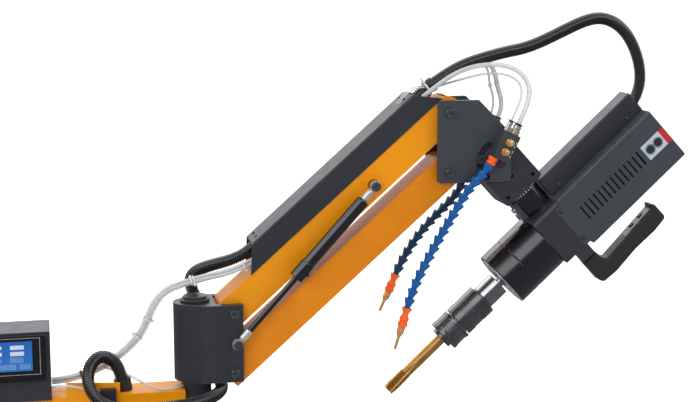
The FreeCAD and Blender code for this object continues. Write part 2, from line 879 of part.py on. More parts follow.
def spring_eye(centre, towards, reach):
    """Rod end: an eye with its socket reaching along the spring."""
    half = spring_eye_width / 2
    eye = cylinder(spring_eye_diameter, centre - side * half, centre + side * half)
    socket = cylinder(spring_socket_diameter, centre + towards * (spring_eye_diameter / 2 - face_gap),
                      centre + towards * reach)
    return join(eye, socket)


def make_spring_rod():
    reach = spring_cylinder_stop
    eye = spring_eye(spring_start, spring_axis, reach)
    half = spring_eye_width / 2 + overrun
    eye = eye.cut(cylinder(spring_stud_diameter + 2 * running_fit, spring_start - side * half,
                           spring_start + side * half))
    rod = cylinder(spring_rod_diameter, spring_start + spring_axis * reach,
                   spring_start + spring_axis * (spring_cylinder_start + spring_rod_overlap))
    return join(eye, rod)


def make_spring_cylinder():
    stop = spring_length - spring_cylinder_stop
    start = spring_start + spring_axis * spring_cylinder_start
    body = cylinder(spring_cylinder_diameter, start, spring_start + spring_axis * stop)
    body = chamfered(body, chamfer, lambda edge: is_circle(edge, spring_cylinder_diameter))
    hole = cylinder(spring_bore_diameter, start - spring_axis * overrun,
                    spring_start + spring_axis * (stop - spring_cylinder_diameter))
    eye = spring_eye(spring_end, -spring_axis, spring_cylinder_stop)
    outer = spring_plane + spring_eye_width / 2
    inner = arm_width / 2 + face_gap
    stud = bolt(spring_stud_diameter, spring_upper - side * outer, spring_upper - side * inner,
                spring_stud_head, spring_stud_head_height, pivot_socket, pivot_socket_depth / 2)
    return join(body, eye, stud).cut(hole)


# Head bracket with its pins and spacers
def arc_slot(low, high):
    """Kidney slot about the tilt pivot, cut through along Y."""
    inner = slot_radius - slot_width / 2
    outer = slot_radius + slot_width / 2

    def point(radius, angle):
        turn = math.radians(angle)
        return tilt_pivot + vec(radius * math.cos(turn), low, radius * math.sin(turn))

    def arc(radius, start, end):
        return Part.Arc(point(radius, start), point(radius, (start + end) / 2), point(radius, end)).toShape()

    def tip(angle, sign):
        centre = point(slot_radius, angle)
        along = (point(slot_radius, angle + sign) - centre).normalize()
        return Part.Arc(point(outer, angle), centre + along * (slot_width / 2), point(inner, angle)).toShape()

    wire = Part.Wire([arc(outer, slot_from, slot_to), tip(slot_to, 1), arc(inner, slot_to, slot_from),
                      tip(slot_from, -1)])
    return Part.Face(wire).extrude(vec(0, high - low, 0))


def spacer_places():
    """Spacers stay clear of the tilt block and of the arms' ends."""
    return (upper_head_pivot + vec(upper_spacer_forward, 0, upper_spacer_rise),
            lower_head_pivot + vec(lower_spacer_forward, 0, lower_spacer_rise))


def make_bracket_plates():
    left = upper_head_pivot.x - bracket_back
    top = upper_head_pivot.z + bracket_top
    right = left + bracket_length
    low = top - bracket_height
    corners = [(left, low, bracket_corner), (right, low, bracket_corner), (right, top - bracket_chamfer, 0.0),
               (right - bracket_chamfer, top, 0.0), (left, top, bracket_corner)]
    inner = bracket_gap / 2
    solids = []
    for near, far in ((-bracket_outer, -inner), (inner, bracket_outer)):
        plate = plate_y(corners, near, far)
        plate = plate.cut(arc_slot(near - overrun, far + overrun))
        reach = side * (bracket_outer + overrun)
        for centre, hole in ((upper_head_pivot, pivot_pin_diameter), (lower_head_pivot, pivot_pin_diameter),
                             (tilt_pivot, tilt_pin_diameter + 2 * running_fit)):
            plate = plate.cut(cylinder(hole, centre - reach, centre + reach))
        outward = side * math.copysign(1, near)
        plate = plate.cut(cylinder(tilt_pin_head + 2 * face_gap,
                                   tilt_pivot + outward * (bracket_outer - tilt_pin_head_height - face_gap),
                                   tilt_pivot + outward * (bracket_outer + overrun)))
        solids.append(plate)
    for centre in spacer_places():
        solids.append(cylinder(spacer_diameter, centre - side * inner, centre + side * inner))
    return Part.makeCompound(solids)


def make_head_pins():
    pivots = (upper_head_pivot, lower_head_pivot)
    return Part.makeCompound([pivot_pin(pivot, bracket_outer) for pivot in pivots])


# Coolant valve blocks, their fittings and jointed hoses
def on_both_sides(shape):
    """A front piece and its mirror image behind the arm."""
    return [shape, shape.mirror(vec(0, 0, 0), side)]


valve_top = valve_length / 2
valve_middle = -bracket_outer - valve_depth / 2
knob_rises = (upper_knob_rise, lower_knob_rise)


def make_valve_blocks():
    body = plate_y(rectangle(span(0.0, valve_width), span(0.0, valve_length), chamfer),
                   -bracket_outer - valve_depth, -bracket_outer)
    for height in knob_rises:
        face = -bracket_outer - valve_depth
        body = body.cut(cylinder(knob_stem_diameter + 2 * face_gap, vec(knob_across, face - overrun, height),
                                 vec(knob_across, face + knob_stem + face_gap, height)))
    return Part.makeCompound(on_both_sides(placed(body, valve_place)))


def make_knob(height, mirrored):
    face = -bracket_outer - valve_depth - face_gap
    foot = vec(knob_across, face, height)
    collar = foot - side * knob_collar
    knob = join(hex_bar(knob_hex, foot, collar), cylinder(knob_diameter, collar, collar - side * knob_length),
                cylinder(knob_stem_diameter, foot + side * knob_stem, foot))
    knob = placed(knob, valve_place)
    return knob.mirror(vec(0, 0, 0), side) if mirrored else knob


def make_tube_fittings():
    solids = []
    for across, diameter in ((small_fitting_across, small_fitting), (large_fitting_across, large_fitting)):
        foot = vec(across, valve_middle, valve_top)
        top = foot + upwards * fitting_length
        body = join(cylinder(diameter, foot, top),
                    cylinder(diameter + 2 * chamfer, top, top + upwards * fitting_ring))
        solids += on_both_sides(placed(body, valve_place))
    return Part.makeCompound(solids)


def hose_links(route, start, end):
    """Ball and socket links along a route."""
    rim = link_rim / 2
    neck = link_neck / 2
    body = link_pitch - link_gap
    link = turned([(0, 0), (rim, 0), (rim, link_rim_width), (neck, body), (0, body)])
    links = []
    count = round((end - start) / link_pitch)
    for index in range(count):
        centre, direction = route.at(start + index * link_pitch)
        ahead, _ = route.at(start + (index + 1) * link_pitch)
        turn = FreeCAD.Rotation(upwards, centre - ahead)
        links.append(placed(link, FreeCAD.Placement(ahead + (centre - ahead).normalize() * link_gap, turn)))
    return links


def hose_end(route, start, profile):
    """A turned piece on a route, its own Z along the route from start."""
    centre, _ = route.at(start)
    ahead, _ = route.at(start + profile[-1][1])
    return placed(turned(profile), FreeCAD.Placement(centre, FreeCAD.Rotation(upwards, ahead - centre)))


def nozzle_start(route):
    return route.length - brass_length - nozzle_length + chamfer


def make_hose(route):
    return Part.makeCompound(hose_links(route, connector_length, nozzle_start(route)))


def make_hose_ends():
    wide = connector_diameter / 2
    rim = link_rim / 2
    tip = nozzle_tip / 2
    solids = []
    for route in (front_hose, rear_hose):
        end = connector_length - 2 * link_gap
        solids.append(hose_end(route, 0, [(0, link_gap), (wide, link_gap), (wide, connector_length / 2),
                                          (rim, end), (0, end)]))
        first = connector_length + round((nozzle_start(route) - connector_length) / link_pitch) * link_pitch
        solids.append(hose_end(route, first, [(0, link_gap), (tip, link_gap), (rim, nozzle_length / 3),
                                              (rim, nozzle_length / 2), (tip, nozzle_length),
                                              (0, nozzle_length)]))
    return Part.makeCompound(solids)


def make_nozzle_tips():
    solids = []
    for route in (front_hose, rear_hose):
        first = connector_length + round((nozzle_start(route) - connector_length) / link_pitch) * link_pitch
        first += nozzle_length
        length = route.length - first
        radius = brass_diameter / 2
        step = length / 3
        wide = radius + chamfer
        solids.append(hose_end(route, first, [(0, face_gap), (wide, face_gap), (wide, step), (radius, step),
                                              (radius, length - step), (radius / 2, length), (0, length)]))
    return Part.makeCompound(solids)


# Tilt block, built in the head's frame: X along the swivel axis, Z along the spindle
def lock_place(sign, outward):
    """Point on the lock bolt's axis, outward from the middle plane on one side."""
    turn = math.radians(lock_angle)
    return tilt_pivot + vec(slot_radius * math.cos(turn), sign * outward, slot_radius * math.sin(turn))


def make_tilt_block():
    half = tilt_width / 2
    low, high = -tilt_half_height, tilt_half_height
    corners = [(-tilt_back, low, tilt_back_corner), (tilt_front, low, tilt_corner),
               (tilt_front, high, tilt_corner), (-tilt_back, high, tilt_back_corner)]
    body = plate_y(corners, -half, half)
    body = body.cut(cylinder(swivel_post_diameter + 2 * running_fit, vec(swivel_post_diameter / 2, 0, 0),
                             vec(tilt_front + overrun, 0, 0)))
    for z, x in ((0, tilt_hole_near), (tilt_hole_across, tilt_hole_far), (-tilt_hole_across, tilt_hole_far)):
        for near in (-half - overrun, half - tilt_hole_depth):
            body = body.cut(cylinder(tilt_hole, vec(x, near, z), vec(x, near + tilt_hole_depth + overrun, z)))
    body = placed(body, head_place)
    reach = side * (half + overrun)
    body = body.cut(cylinder(tilt_pin_diameter, tilt_pivot - reach, tilt_pivot + reach))
    for sign in (-1, 1):
        body = body.cut(cylinder(lock_bolt_diameter, lock_place(sign, half - lock_thread_depth),
                                 lock_place(sign, half + overrun)))
    return body


def make_tilt_bolts():
    half = tilt_width / 2
    outer = bracket_outer + face_gap
    seat = bracket_outer - tilt_pin_head_height
    solids = []
    pin = cylinder(tilt_pin_diameter, tilt_pivot - side * seat, tilt_pivot + side * seat)
    for sign in (-1, 1):
        head = cylinder(tilt_pin_head, tilt_pivot + side * seat * sign,
                        tilt_pivot + side * (bracket_outer - face_gap) * sign)
        pin = join(pin, head)
        end = lock_place(sign, half - lock_thread_depth)
        solids.append(bolt(lock_bolt_diameter, lock_place(sign, outer), end, lock_head_diameter,
                           lock_head_height, pivot_socket, pivot_socket_depth))
    return Part.makeCompound([pin] + solids)


# Machine head, built in the head's frame
def make_graduated_ring():
    bar = ring(ring_diameter, swivel_post_diameter + 2 * running_fit, vec(tilt_front + face_gap, 0, 0),
               vec(tilt_front + ring_width, 0, 0))
    return placed(bar, head_place)


def make_swivel_hub():
    start = tilt_front + ring_width
    hub = cylinder(hub_diameter, vec(start, 0, 0), vec(gear_start, 0, 0))
    post = cylinder(swivel_post_diameter, vec(swivel_post_diameter / 2 + face_gap, 0, 0), vec(start, 0, 0))
    lug = cuboid((start + hub_lug_inset, gear_start), span(0.0, hub_lug_width), (-hub_lug_reach, 0))
    return placed(join(hub, post, lug), head_place)


def make_gear_block():
    half = gear_width / 2
    small = motor_cover_round / 2
    body = plate_z([(gear_start, -half, gear_round), (gear_end, -half, small), (gear_end, half, small),
                    (gear_start, half, gear_round)], gear_low, gear_high)
    inner = half - motor_cover_wall
    for y in ((-half - overrun, -inner), (inner, half + overrun)):
        body = body.cut(cuboid((skirt_start, gear_end + overrun), y, (skirt_low, gear_high + overrun)))
    return placed(body, head_place)


def make_motor_cover():
    half = gear_width / 2
    inner = half - motor_cover_wall
    low = gear_high + face_gap
    footprint = rectangle((cover_start, cover_end), (-half, half), motor_cover_round)
    shell = plate_z(footprint, low, motor_cover_high)
    shell = chamfered(shell, chamfer, lambda edge: edge.BoundBox.ZMin > motor_cover_high - running_fit)
    shell = shell.cut(cuboid((cover_start + motor_cover_wall, cover_end - motor_cover_wall), (-inner, inner),
                             (low - overrun, motor_cover_high - motor_cover_wall)))
    for index in range(vent_count):
        height = vent_start + index * vent_pitch
        shell = shell.cut(plate_y(rectangle(span(vent_centre, vent_length), span(height, vent_width)),
                                  -half - overrun, half + overrun))
    for y in ((-half, -inner), (inner, half)):
        shell = shell.fuse(cuboid((skirt_start + face_gap, gear_end), y, (skirt_low + face_gap, low)))
    return placed(shell.removeSplitter(), head_place)


def make_servo_motor():
    top = gear_high + motor_flange
    flange = cuboid(span(spindle_offset, motor_side + motor_flange), span(0.0, motor_side + motor_flange),
                    (gear_high, top))
    corners = rectangle(span(spindle_offset, motor_side), span(0.0, motor_side), motor_flange)
    return placed(join(flange, plate_z(corners, top, top + motor_length)), head_place)


def make_cable_box():
    half = cable_box_width / 2
    x = (cable_box_start, cover_start)
    shell = plate_z([(x[0], -half, cable_box_round), (x[1], -half, 0.0), (x[1], half, 0.0),
                     (x[0], half, cable_box_round)], cable_box_low, cable_box_high)
    inner = (-half + cable_box_wall, half - cable_box_wall)
    shell = shell.cut(cuboid((x[0] + cable_box_wall, x[1] + overrun), inner,
                             (cable_box_low + cable_box_wall, cable_box_high - cable_box_wall)))
    lean = math.radians(conduit_hole_lean)
    centre = vec(conduit_hole_forward, 0, cable_box_high)
    reach = vec(math.sin(lean), 0, -math.cos(lean)) * conduit_diameter
    hole = cylinder(conduit_root + 2 * face_gap, centre - reach, centre + reach)
    return placed(shell.cut(hole), head_place)


def make_gearbox_housing():
    top = gear_low
    low = gear_low - gearbox_length
    radius = gearbox_diameter / 2
    bore = spindle_shaft_diameter / 2 + running_fit
    groove = top - gearbox_groove_at
    body = turned([(0, top), (radius, top), (radius, groove + gearbox_groove_width),
                   (radius - gearbox_groove_depth, groove + gearbox_groove_width),
                   (radius - gearbox_groove_depth, groove), (radius, groove), (radius, low + gearbox_round),
                   (radius - gearbox_round, low), (bore, low), (bore, low + gearbox_bore_depth),
                   (0, low + gearbox_bore_depth)])
    return placed(body.translated(vec(spindle_offset, 0, 0)), head_place)


# Spindle, chuck, sleeve and tap, turned about the spindle axis with heights in the head's frame
neck_low = gear_low - gearbox_length - spindle_neck
collar_low = neck_low - collar_length
sleeve_top = collar_low - sleeve_gap
sleeve_low = sleeve_top - sleeve_length
chuck_top = sleeve_low - sleeve_gap
chuck_low = chuck_top - chuck_length
flange_low = chuck_low - flange_length
tap_low = flange_low - tap_reach


def on_spindle(shape):
    return placed(shape.translated(vec(spindle_offset, 0, 0)), head_place)


def make_spindle_nose():
    shaft = spindle_shaft_diameter / 2
    collar = collar_diameter / 2
    third = collar_length / 3
    top = neck_low + spindle_neck + gearbox_bore_depth - face_gap
    return on_spindle(turned([(0, top), (shaft, top), (shaft, neck_low), (collar - chamfer, neck_low),
                              (collar, neck_low - chamfer), (collar, neck_low - third),
                              (collar - collar_ring_depth, neck_low - third),
                              (collar - collar_ring_depth, neck_low - third - groove_width),
                              (collar, neck_low - third - groove_width), (collar, collar_low),
                              (0, collar_low)]))


def make_chuck_body():
    core = collar_diameter / 2
    outer = chuck_diameter / 2
    flange = flange_diameter / 2
    hole = tap_shank_diameter / 2 + running_fit
    middle = (chuck_top + chuck_low) / 2
    grip = flange_low + tap_grip
    return on_spindle(turned([(0, collar_low), (core, collar_low), (core, chuck_top),
                              (outer - chamfer, chuck_top), (outer, chuck_top - chamfer),
                              (outer, middle + groove_width),
                              (outer - groove_depth, middle + groove_width), (outer - groove_depth, middle),
                              (outer, middle), (outer, chuck_low + chamfer), (outer - chamfer, chuck_low),
                              (flange, chuck_low), (flange, flange_low), (hole, flange_low), (hole, grip),
                              (0, grip)]))


def make_chuck_sleeve():
    bore = collar_diameter / 2 + running_fit
    outer = sleeve_diameter / 2
    middle = (sleeve_top + sleeve_low) / 2
    root = outer - groove_depth
    return on_spindle(turned([(bore, sleeve_top), (outer - chamfer, sleeve_top),
                              (outer, sleeve_top - chamfer), (outer, middle + groove_width),
                              (root, middle + groove_width),
                              (root, middle - groove_width), (outer, middle - groove_width),
                              (outer, sleeve_low + chamfer), (outer - chamfer, sleeve_low),
                              (bore, sleeve_low)]))


def make_tap():
    shank = tap_shank_diameter / 2
    thread = thread_diameter / 2
    body = turned([(0, flange_low + tap_grip - face_gap), (shank, flange_low + tap_grip - face_gap),
                   (shank, tap_low + thread_length + chamfer), (thread, tap_low + thread_length),
                   (thread, tap_low + thread_diameter / 2), (thread - 2 * chamfer, tap_low), (0, tap_low)])
    for index in range(flute_count):
        turn = 2 * math.pi * index / flute_count
        centre = vec(thread * math.cos(turn), thread * math.sin(turn), 0)
        body = body.cut(cylinder(flute_diameter, centre + upwards * (tap_low - overrun),
                                 centre + upwards * (tap_low + thread_length)))
    return on_spindle(body)


# Handle, in the head's frame
grip_points = [(tongue_end + across * grip_depth, tongue_low + rise * grip_height, corner * grip_depth)
               for across, rise, corner in grip_outline_shares]
inner_high, inner_low = grip_points[-2:]
grip_points = ([(tongue_end, tongue_low, 0.0)] + grip_points
               + [(tongue_end + grip_throat, tongue_high, 0.0), (tongue_end, tongue_high, 0.0)])
button_places = (button_first, button_first + button_pitch)


def inner_face(height):
    """Place across of the grip's inner face at a height along the spindle."""
    part = (height - inner_low[1]) / (inner_high[1] - inner_low[1])
    return inner_low[0] + part * (inner_high[0] - inner_low[0])


def make_handle_bracket():
    half = tongue_thickness / 2
    body = cuboid((gear_end, tongue_end), (-half, half), (tongue_low, tongue_high))
    body = chamfered(body, chamfer, lambda edge: edge.BoundBox.XLength > tongue_end - gear_end - running_fit)
    return placed(body, head_place)


def make_handle_grip():
    half = grip_width / 2
    body = plate_y(grip_points, -half, half)
    rounded = [edge for edge in body.Edges
               if abs(edge.CenterOfMass.y) > half - running_fit and edge.BoundBox.XMin > tongue_end + chamfer]
    body = body.makeFillet(grip_round, rounded)
    body = body.cut(button_plate(overrun))
    for height in button_places:
        face = inner_face(height)
        body = body.cut(cylinder(button_diameter + 2 * face_gap, vec(face - overrun, 0, height),
                                 vec(face + button_depth + 2 * overrun, 0, height)))
    return placed(body, head_place)


def button_plate(proud):
    """Plate let into the grip's inner face."""
    low, high = button_plate_start, button_plate_start + button_plate_length
    corners = [(inner_face(low) - proud, low, 0.0), (inner_face(low) + button_plate_thickness, low, 0.0),
               (inner_face(high) + button_plate_thickness, high, 0.0), (inner_face(high) - proud, high, 0.0)]
    return plate_y(corners, -button_plate_width / 2, button_plate_width / 2)


def make_button_plate():
    plate = button_plate(0.0)
    for height in button_places:
        face = inner_face(height)
        plate = plate.cut(cylinder(button_diameter + 2 * face_gap, vec(face - overrun, 0, height),
                                   vec(face + 2 * overrun, 0, height)))
    return placed(plate, head_place)


def make_button(height):
    face = inner_face(height)
    body = cylinder(button_diameter, vec(face - button_height, 0, height),
                    vec(face + button_depth, 0, height))
    body = chamfered(body, chamfer / 2, lambda edge: is_circle(edge, button_diameter)
                     and edge.CenterOfMass.x < face)
    return placed(body, head_place)


# Routes of the conduit, tubes and hoses, chosen by hand
elbow_conduit_lower = Route("elbow_conduit_lower", [
    (189, -4, 283), (185, -5, 306), (172, -9, 328), (152, -19, 337), (135, -33, 325), (130, -47, 301),
    (141, -57, 277), (165, -61, 262), (196, -61, 257), (230, -60, 255), (265, -59, 256), (297, -56, 258),
    (326, -46, 261), (346, -24, 264), (354, 5, 265), (354, 36, 266), (349, 60, 277), (342, 68, 302),
    (338, 66, 330), (335, 64, 351)])
elbow_conduit_upper = Route("elbow_conduit_upper", [
    (335, 64, 351), (332, 62, 372), (323, 61, 398), (310, 58, 423), (307, 47, 447), (322, 33, 463),
    (347, 21, 472), (373, 12, 480), (400, 8, 493), (424, 8, 515)])
head_conduit_a = Route("head_conduit_a", [
    (655, 0, 714), (678, 0, 740), (706, 0, 763), (738, 0, 784), (771, 0, 801), (805, 0, 810)])
head_conduit_b = Route("head_conduit_b", [
    (805, 0, 810), (835.6, 0, 818.1), (867, 0, 823), (898, 0, 833), (926, 0, 846)])
head_conduit_c = Route("head_conduit_c", [
    (926, 0, 846), (951.2, 0, 857.7), (977, 0, 869), (1005, 0, 875), (1032, 0, 867), (1054, 0, 848),
    (1069, 0, 823), (1078.5, 0, 797), (1082, 0, 772.5), (1079, 0, 749), (1069.5, 0, 728)])
elbow_tubes_lower = Route("elbow_tubes_lower", [
    (74.6, 9, 291), (97, 9, 292), (124, 10, 298), (152, 11, 308), (178, 9, 323), (201, 2, 343),
    (220, -5, 366), (232, -8, 392), (243, -9, 418), (259, -9, 436), (281, -9, 446), (305, -10, 452)])
elbow_tubes_upper = Route("elbow_tubes_upper", [
    (305, -10, 452), (329, -11, 458), (355, -14, 463), (381, -17, 471), (408, -18, 485)])
front_tube_small = Route("front_tube_small", [
    (831.6, -56.3, 705.8), (840, -55.5, 724), (850, -51, 742), (854, -45, 760), (848, -37, 775),
    (829, -29, 784), (800, -19, 785), (769, -9, 777), (741, 8, 767), (712, 17, 757), (688, 18, 745)])
front_tube_large = Route("front_tube_large", [
    (844, -56.3, 699.8), (853.5, -55.5, 720), (864, -50, 741), (868, -43, 763), (858, -36, 784),
    (836, -28, 797), (807, -21, 800), (776, -17, 796), (746, -16, 785), (717, -18, 767), (690, -20, 747)])
rear_tube_small = Route("rear_tube_small", [
    (831.6, 56.3, 705.8), (837, 55.5, 722), (834, 51, 741), (826, 45, 760), (822, 38, 778), (815, 29, 793),
    (797, 23, 799), (770, 22, 790), (742, 23, 775), (716, 25, 758), (694, 27, 743)])
rear_tube_large = Route("rear_tube_large", [
    (844, 56.3, 699.8), (851, 55.5, 716), (849, 51, 736), (840, 45, 756), (834, 38, 776), (825, 31, 793),
    (806, 25, 804), (780, 21, 803), (752, 20, 792), (725, 22, 777), (701, 23, 758)])

# Routes of the jointed hoses, in steps from the valves' outlets
hose_outlet = valve_place.multVec(vec(outlet_across, valve_middle, -valve_top - face_gap))
front_hose = Route("front_hose", [
    (0, 0, 0), (-7, 0, -14.5), (-20.5, -1, -29.5), (-38.5, -2, -45.5), (-54.5, -3, -67.5),
    (-69.5, -3, -93.5), (-87.5, -3, -122.5), (-104.5, -3, -152.5), (-120.5, -3, -181.5),
    (-134.5, -3, -210.5), (-145.5, -3, -241.5), (-153.5, -3, -271.5), (-166.5, -3, -312.5)], hose_outlet)
rear_hose = Route("rear_hose", [
    (0, 0, 0), (-6.5, 1, -13.5), (-12, 2, -30), (-16.5, 3, -51), (-24.5, 3, -71.5), (-40.5, 3, -90.5),
    (-60.5, 3, -108.5), (-83.5, 3, -131.5), (-105.5, 3, -158.5), (-122.5, 3, -184.5),
    (-136.5, 3, -211.5), (-147.5, 3, -239.5),
    (-164.5, 3, -275.5)], vec(hose_outlet.x, -hose_outlet.y, hose_outlet.z))


def build():
    """Make every piece and write one file for each."""
    parts["base_plate"] = make_base_plate()
    parts["column_post"] = make_column_post()
    parts["column_bearings"] = make_column_bearings()
    parts["first_arm_beam"] = make_first_arm_beam()
    parts["elbow_hub"] = make_elbow_hub()
    parts["elbow_shaft"] = make_elbow_shaft()
    parts["elbow_cap"] = make_elbow_cap()
    parts["cable_tab"] = make_cable_tab()
    parts["cable_entries"] = make_cable_entries()
    parts["control_box_base"] = make_control_box_base()
    parts["control_box_cover"] = make_control_box_cover()
    parts["screen_bezel"] = make_screen_bezel()
    parts["touch_screen"] = make_touch_screen()
    parts["power_switch"] = make_power_switch()
    parts["elbow_block"] = make_elbow_block()
    parts["elbow_bearings"] = make_elbow_bearings()
    parts["elbow_pins"] = make_elbow_pins()
    parts["upper_arm"] = make_upper_arm()
    parts["lower_arm"] = make_lower_arm()
    parts["cable_cover"] = make_cable_cover()
    parts["spring_rod"] = make_spring_rod()
    parts["spring_cylinder"] = make_spring_cylinder()
    parts["bracket_plates"] = make_bracket_plates()
    parts["head_pins"] = make_head_pins()
    parts["valve_blocks"] = make_valve_blocks()
    parts["tube_fittings"] = make_tube_fittings()
    for number, (height, mirrored) in enumerate((h, m) for m in (False, True) for h in knob_rises):
        parts["valve_knob_" + str(number + 1)] = make_knob(height, mirrored)
    parts["front_coolant_hose"] = make_hose(front_hose)
    parts["rear_coolant_hose"] = make_hose(rear_hose)
    parts["hose_ends"] = make_hose_ends()
    parts["nozzle_tips"] = make_nozzle_tips()
    parts["tilt_block"] = make_tilt_block()
    parts["tilt_bolts"] = make_tilt_bolts()
    parts["graduated_ring"] = make_graduated_ring()
    parts["swivel_hub"] = make_swivel_hub()
    parts["gear_block"] = make_gear_block()
    parts["motor_cover"] = make_motor_cover()
    parts["servo_motor"] = make_servo_motor()
    parts["cable_box"] = make_cable_box()
    parts["gearbox_housing"] = make_gearbox_housing()
    parts["spindle_nose"] = make_spindle_nose()
    parts["chuck_body"] = make_chuck_body()
    parts["chuck_sleeve"] = make_chuck_sleeve()
    parts["tap"] = make_tap()
    parts["handle_bracket"] = make_handle_bracket()
    parts["handle_grip"] = make_handle_grip()
    parts["button_plate"] = make_button_plate()
    parts["start_button"] = make_button(button_places[1])
    parts["reverse_button"] = make_button(button_places[0])
    parts["elbow_conduit_lower"] = elbow_conduit_lower.ribbed(elbow_lower_ribs)
    parts["elbow_conduit_upper"] = elbow_conduit_upper.ribbed(elbow_upper_ribs)
    parts["head_conduit_a"] = head_conduit_a.ribbed(head_ribs[0])
    parts["head_conduit_b"] = head_conduit_b.ribbed(head_ribs[1])
    parts["head_conduit_c"] = head_conduit_c.ribbed(head_ribs[2])
    parts["elbow_tubes_lower"] = elbow_tubes_lower.tube(bundle_diameter)
    parts["elbow_tubes_upper"] = elbow_tubes_upper.tube(bundle_diameter)
    parts["head_tubes"] = Part.makeCompound([front_tube_small.tube(small_tube_diameter),
                                             front_tube_large.tube(large_tube_diameter),
                                             rear_tube_small.tube(small_tube_diameter),
                                             rear_tube_large.tube(large_tube_diameter)])
    os.makedirs("parts", exist_ok=True)
    for name, shape in parts.items():
        if not shape.isValid() or not shape.Solids:
            print("not valid:", name)
        shape.exportStep("parts/" + name + ".step")
    print(len(parts), "nodes,", sum(len(shape.Solids) for shape in parts.values()), "solids")


build()
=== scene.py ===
import bpy
import bisect
import bmesh
import json
import math
from mathutils import Matrix, Vector

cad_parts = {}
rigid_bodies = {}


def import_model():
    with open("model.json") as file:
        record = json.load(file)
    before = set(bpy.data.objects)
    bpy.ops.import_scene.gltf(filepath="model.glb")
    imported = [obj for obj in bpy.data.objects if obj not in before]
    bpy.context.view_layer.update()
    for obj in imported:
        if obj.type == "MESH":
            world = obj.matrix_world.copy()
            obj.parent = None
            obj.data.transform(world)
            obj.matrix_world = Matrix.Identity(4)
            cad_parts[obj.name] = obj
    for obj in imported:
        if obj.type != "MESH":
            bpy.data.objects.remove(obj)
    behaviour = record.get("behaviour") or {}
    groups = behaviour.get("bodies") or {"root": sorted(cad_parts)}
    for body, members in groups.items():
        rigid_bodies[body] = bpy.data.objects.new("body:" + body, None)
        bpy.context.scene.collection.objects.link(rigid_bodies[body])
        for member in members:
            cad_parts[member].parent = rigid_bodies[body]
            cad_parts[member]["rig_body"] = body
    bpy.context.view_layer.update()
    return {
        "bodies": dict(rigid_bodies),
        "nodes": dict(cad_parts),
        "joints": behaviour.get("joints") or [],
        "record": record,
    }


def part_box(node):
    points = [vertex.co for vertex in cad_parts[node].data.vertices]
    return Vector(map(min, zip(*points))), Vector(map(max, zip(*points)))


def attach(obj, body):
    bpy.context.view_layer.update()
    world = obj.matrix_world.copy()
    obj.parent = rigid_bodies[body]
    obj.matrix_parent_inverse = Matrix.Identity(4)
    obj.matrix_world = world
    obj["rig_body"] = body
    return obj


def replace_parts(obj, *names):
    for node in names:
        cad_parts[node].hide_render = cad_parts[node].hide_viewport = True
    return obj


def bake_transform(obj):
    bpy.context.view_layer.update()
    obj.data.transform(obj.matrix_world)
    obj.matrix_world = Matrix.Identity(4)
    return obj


# Arm tapping machine, in metres, in the row's frame: +Z up, +X along the first arm, the screen faces -Y.
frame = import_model()
nodes = frame["nodes"]
joints = {joint["name"]: joint for joint in frame["joints"]}
mm = 0.001
side = Vector((0, 1, 0))
up = Vector((0, 0, 1))

# Camera, fitted to the photograph: focal length in pixels of the 700 pixel wide picture
picture_width = 700
focal_pixels = 1447.0
camera_place = Vector((0.0763918, -2.3304705, 0.9725546))
camera_azimuth = math.radians(-12)
camera_elevation = math.radians(9.5)
sensor_width = 36.0


# Frames of the upper arm, the head, the spindle and the gas spring, worked out from the joints
def frame_matrix(origin, along, upward):
    """Local X along, local Z upward and local Y to the side."""
    matrix = Matrix((along, side, upward)).transposed().to_4x4()
    matrix.translation = origin
    return matrix


upper_pivot = Vector(joints["arm_lift"]["pos_m"])
lower_pivot = Vector(joints["lower_arm_turn"]["pos_m"])
head_pivot = Vector(joints["bracket_level"]["pos_m"])
tilt_pivot = Vector(joints["tilt"]["pos_m"])
elbow_axis = Vector(joints["elbow_swivel"]["pos_m"])
spring_eye = Vector(joints["gas_rod_turn"]["pos_m"])
spring_along = Vector(joints["gas_cylinder_slide"]["axis"])
swivel_along = Vector(joints["head_swivel"]["axis"])
spindle_along = Vector(joints["spindle_spin"]["axis"])
spindle_place = Vector(joints["spindle_spin"]["pos_m"])
arm_along = (head_pivot - upper_pivot).normalized()
arm = frame_matrix(upper_pivot, arm_along, arm_along.cross(side))
head = frame_matrix(tilt_pivot, swivel_along, spindle_along)
spindle = frame_matrix(spindle_place, swivel_along, spindle_along)
spring = frame_matrix(spring_eye, spring_along.cross(side) * -1, spring_along)


# Materials
def put(tree, node, name, value):
    """Set a node's socket to a value, or link another socket to it."""
    socket = node.inputs[name.replace("_", " ")] if isinstance(name, str) else node.inputs[name]
    if isinstance(value, bpy.types.NodeSocket):
        tree.links.new(value, socket)
    else:
        socket.default_value = value


def maths(tree, operation, one, two):
    node = tree.nodes.new("ShaderNodeMath")
    node.operation = operation
    put(tree, node, 0, one)
    put(tree, node, 1, two)
    return node.outputs[0]


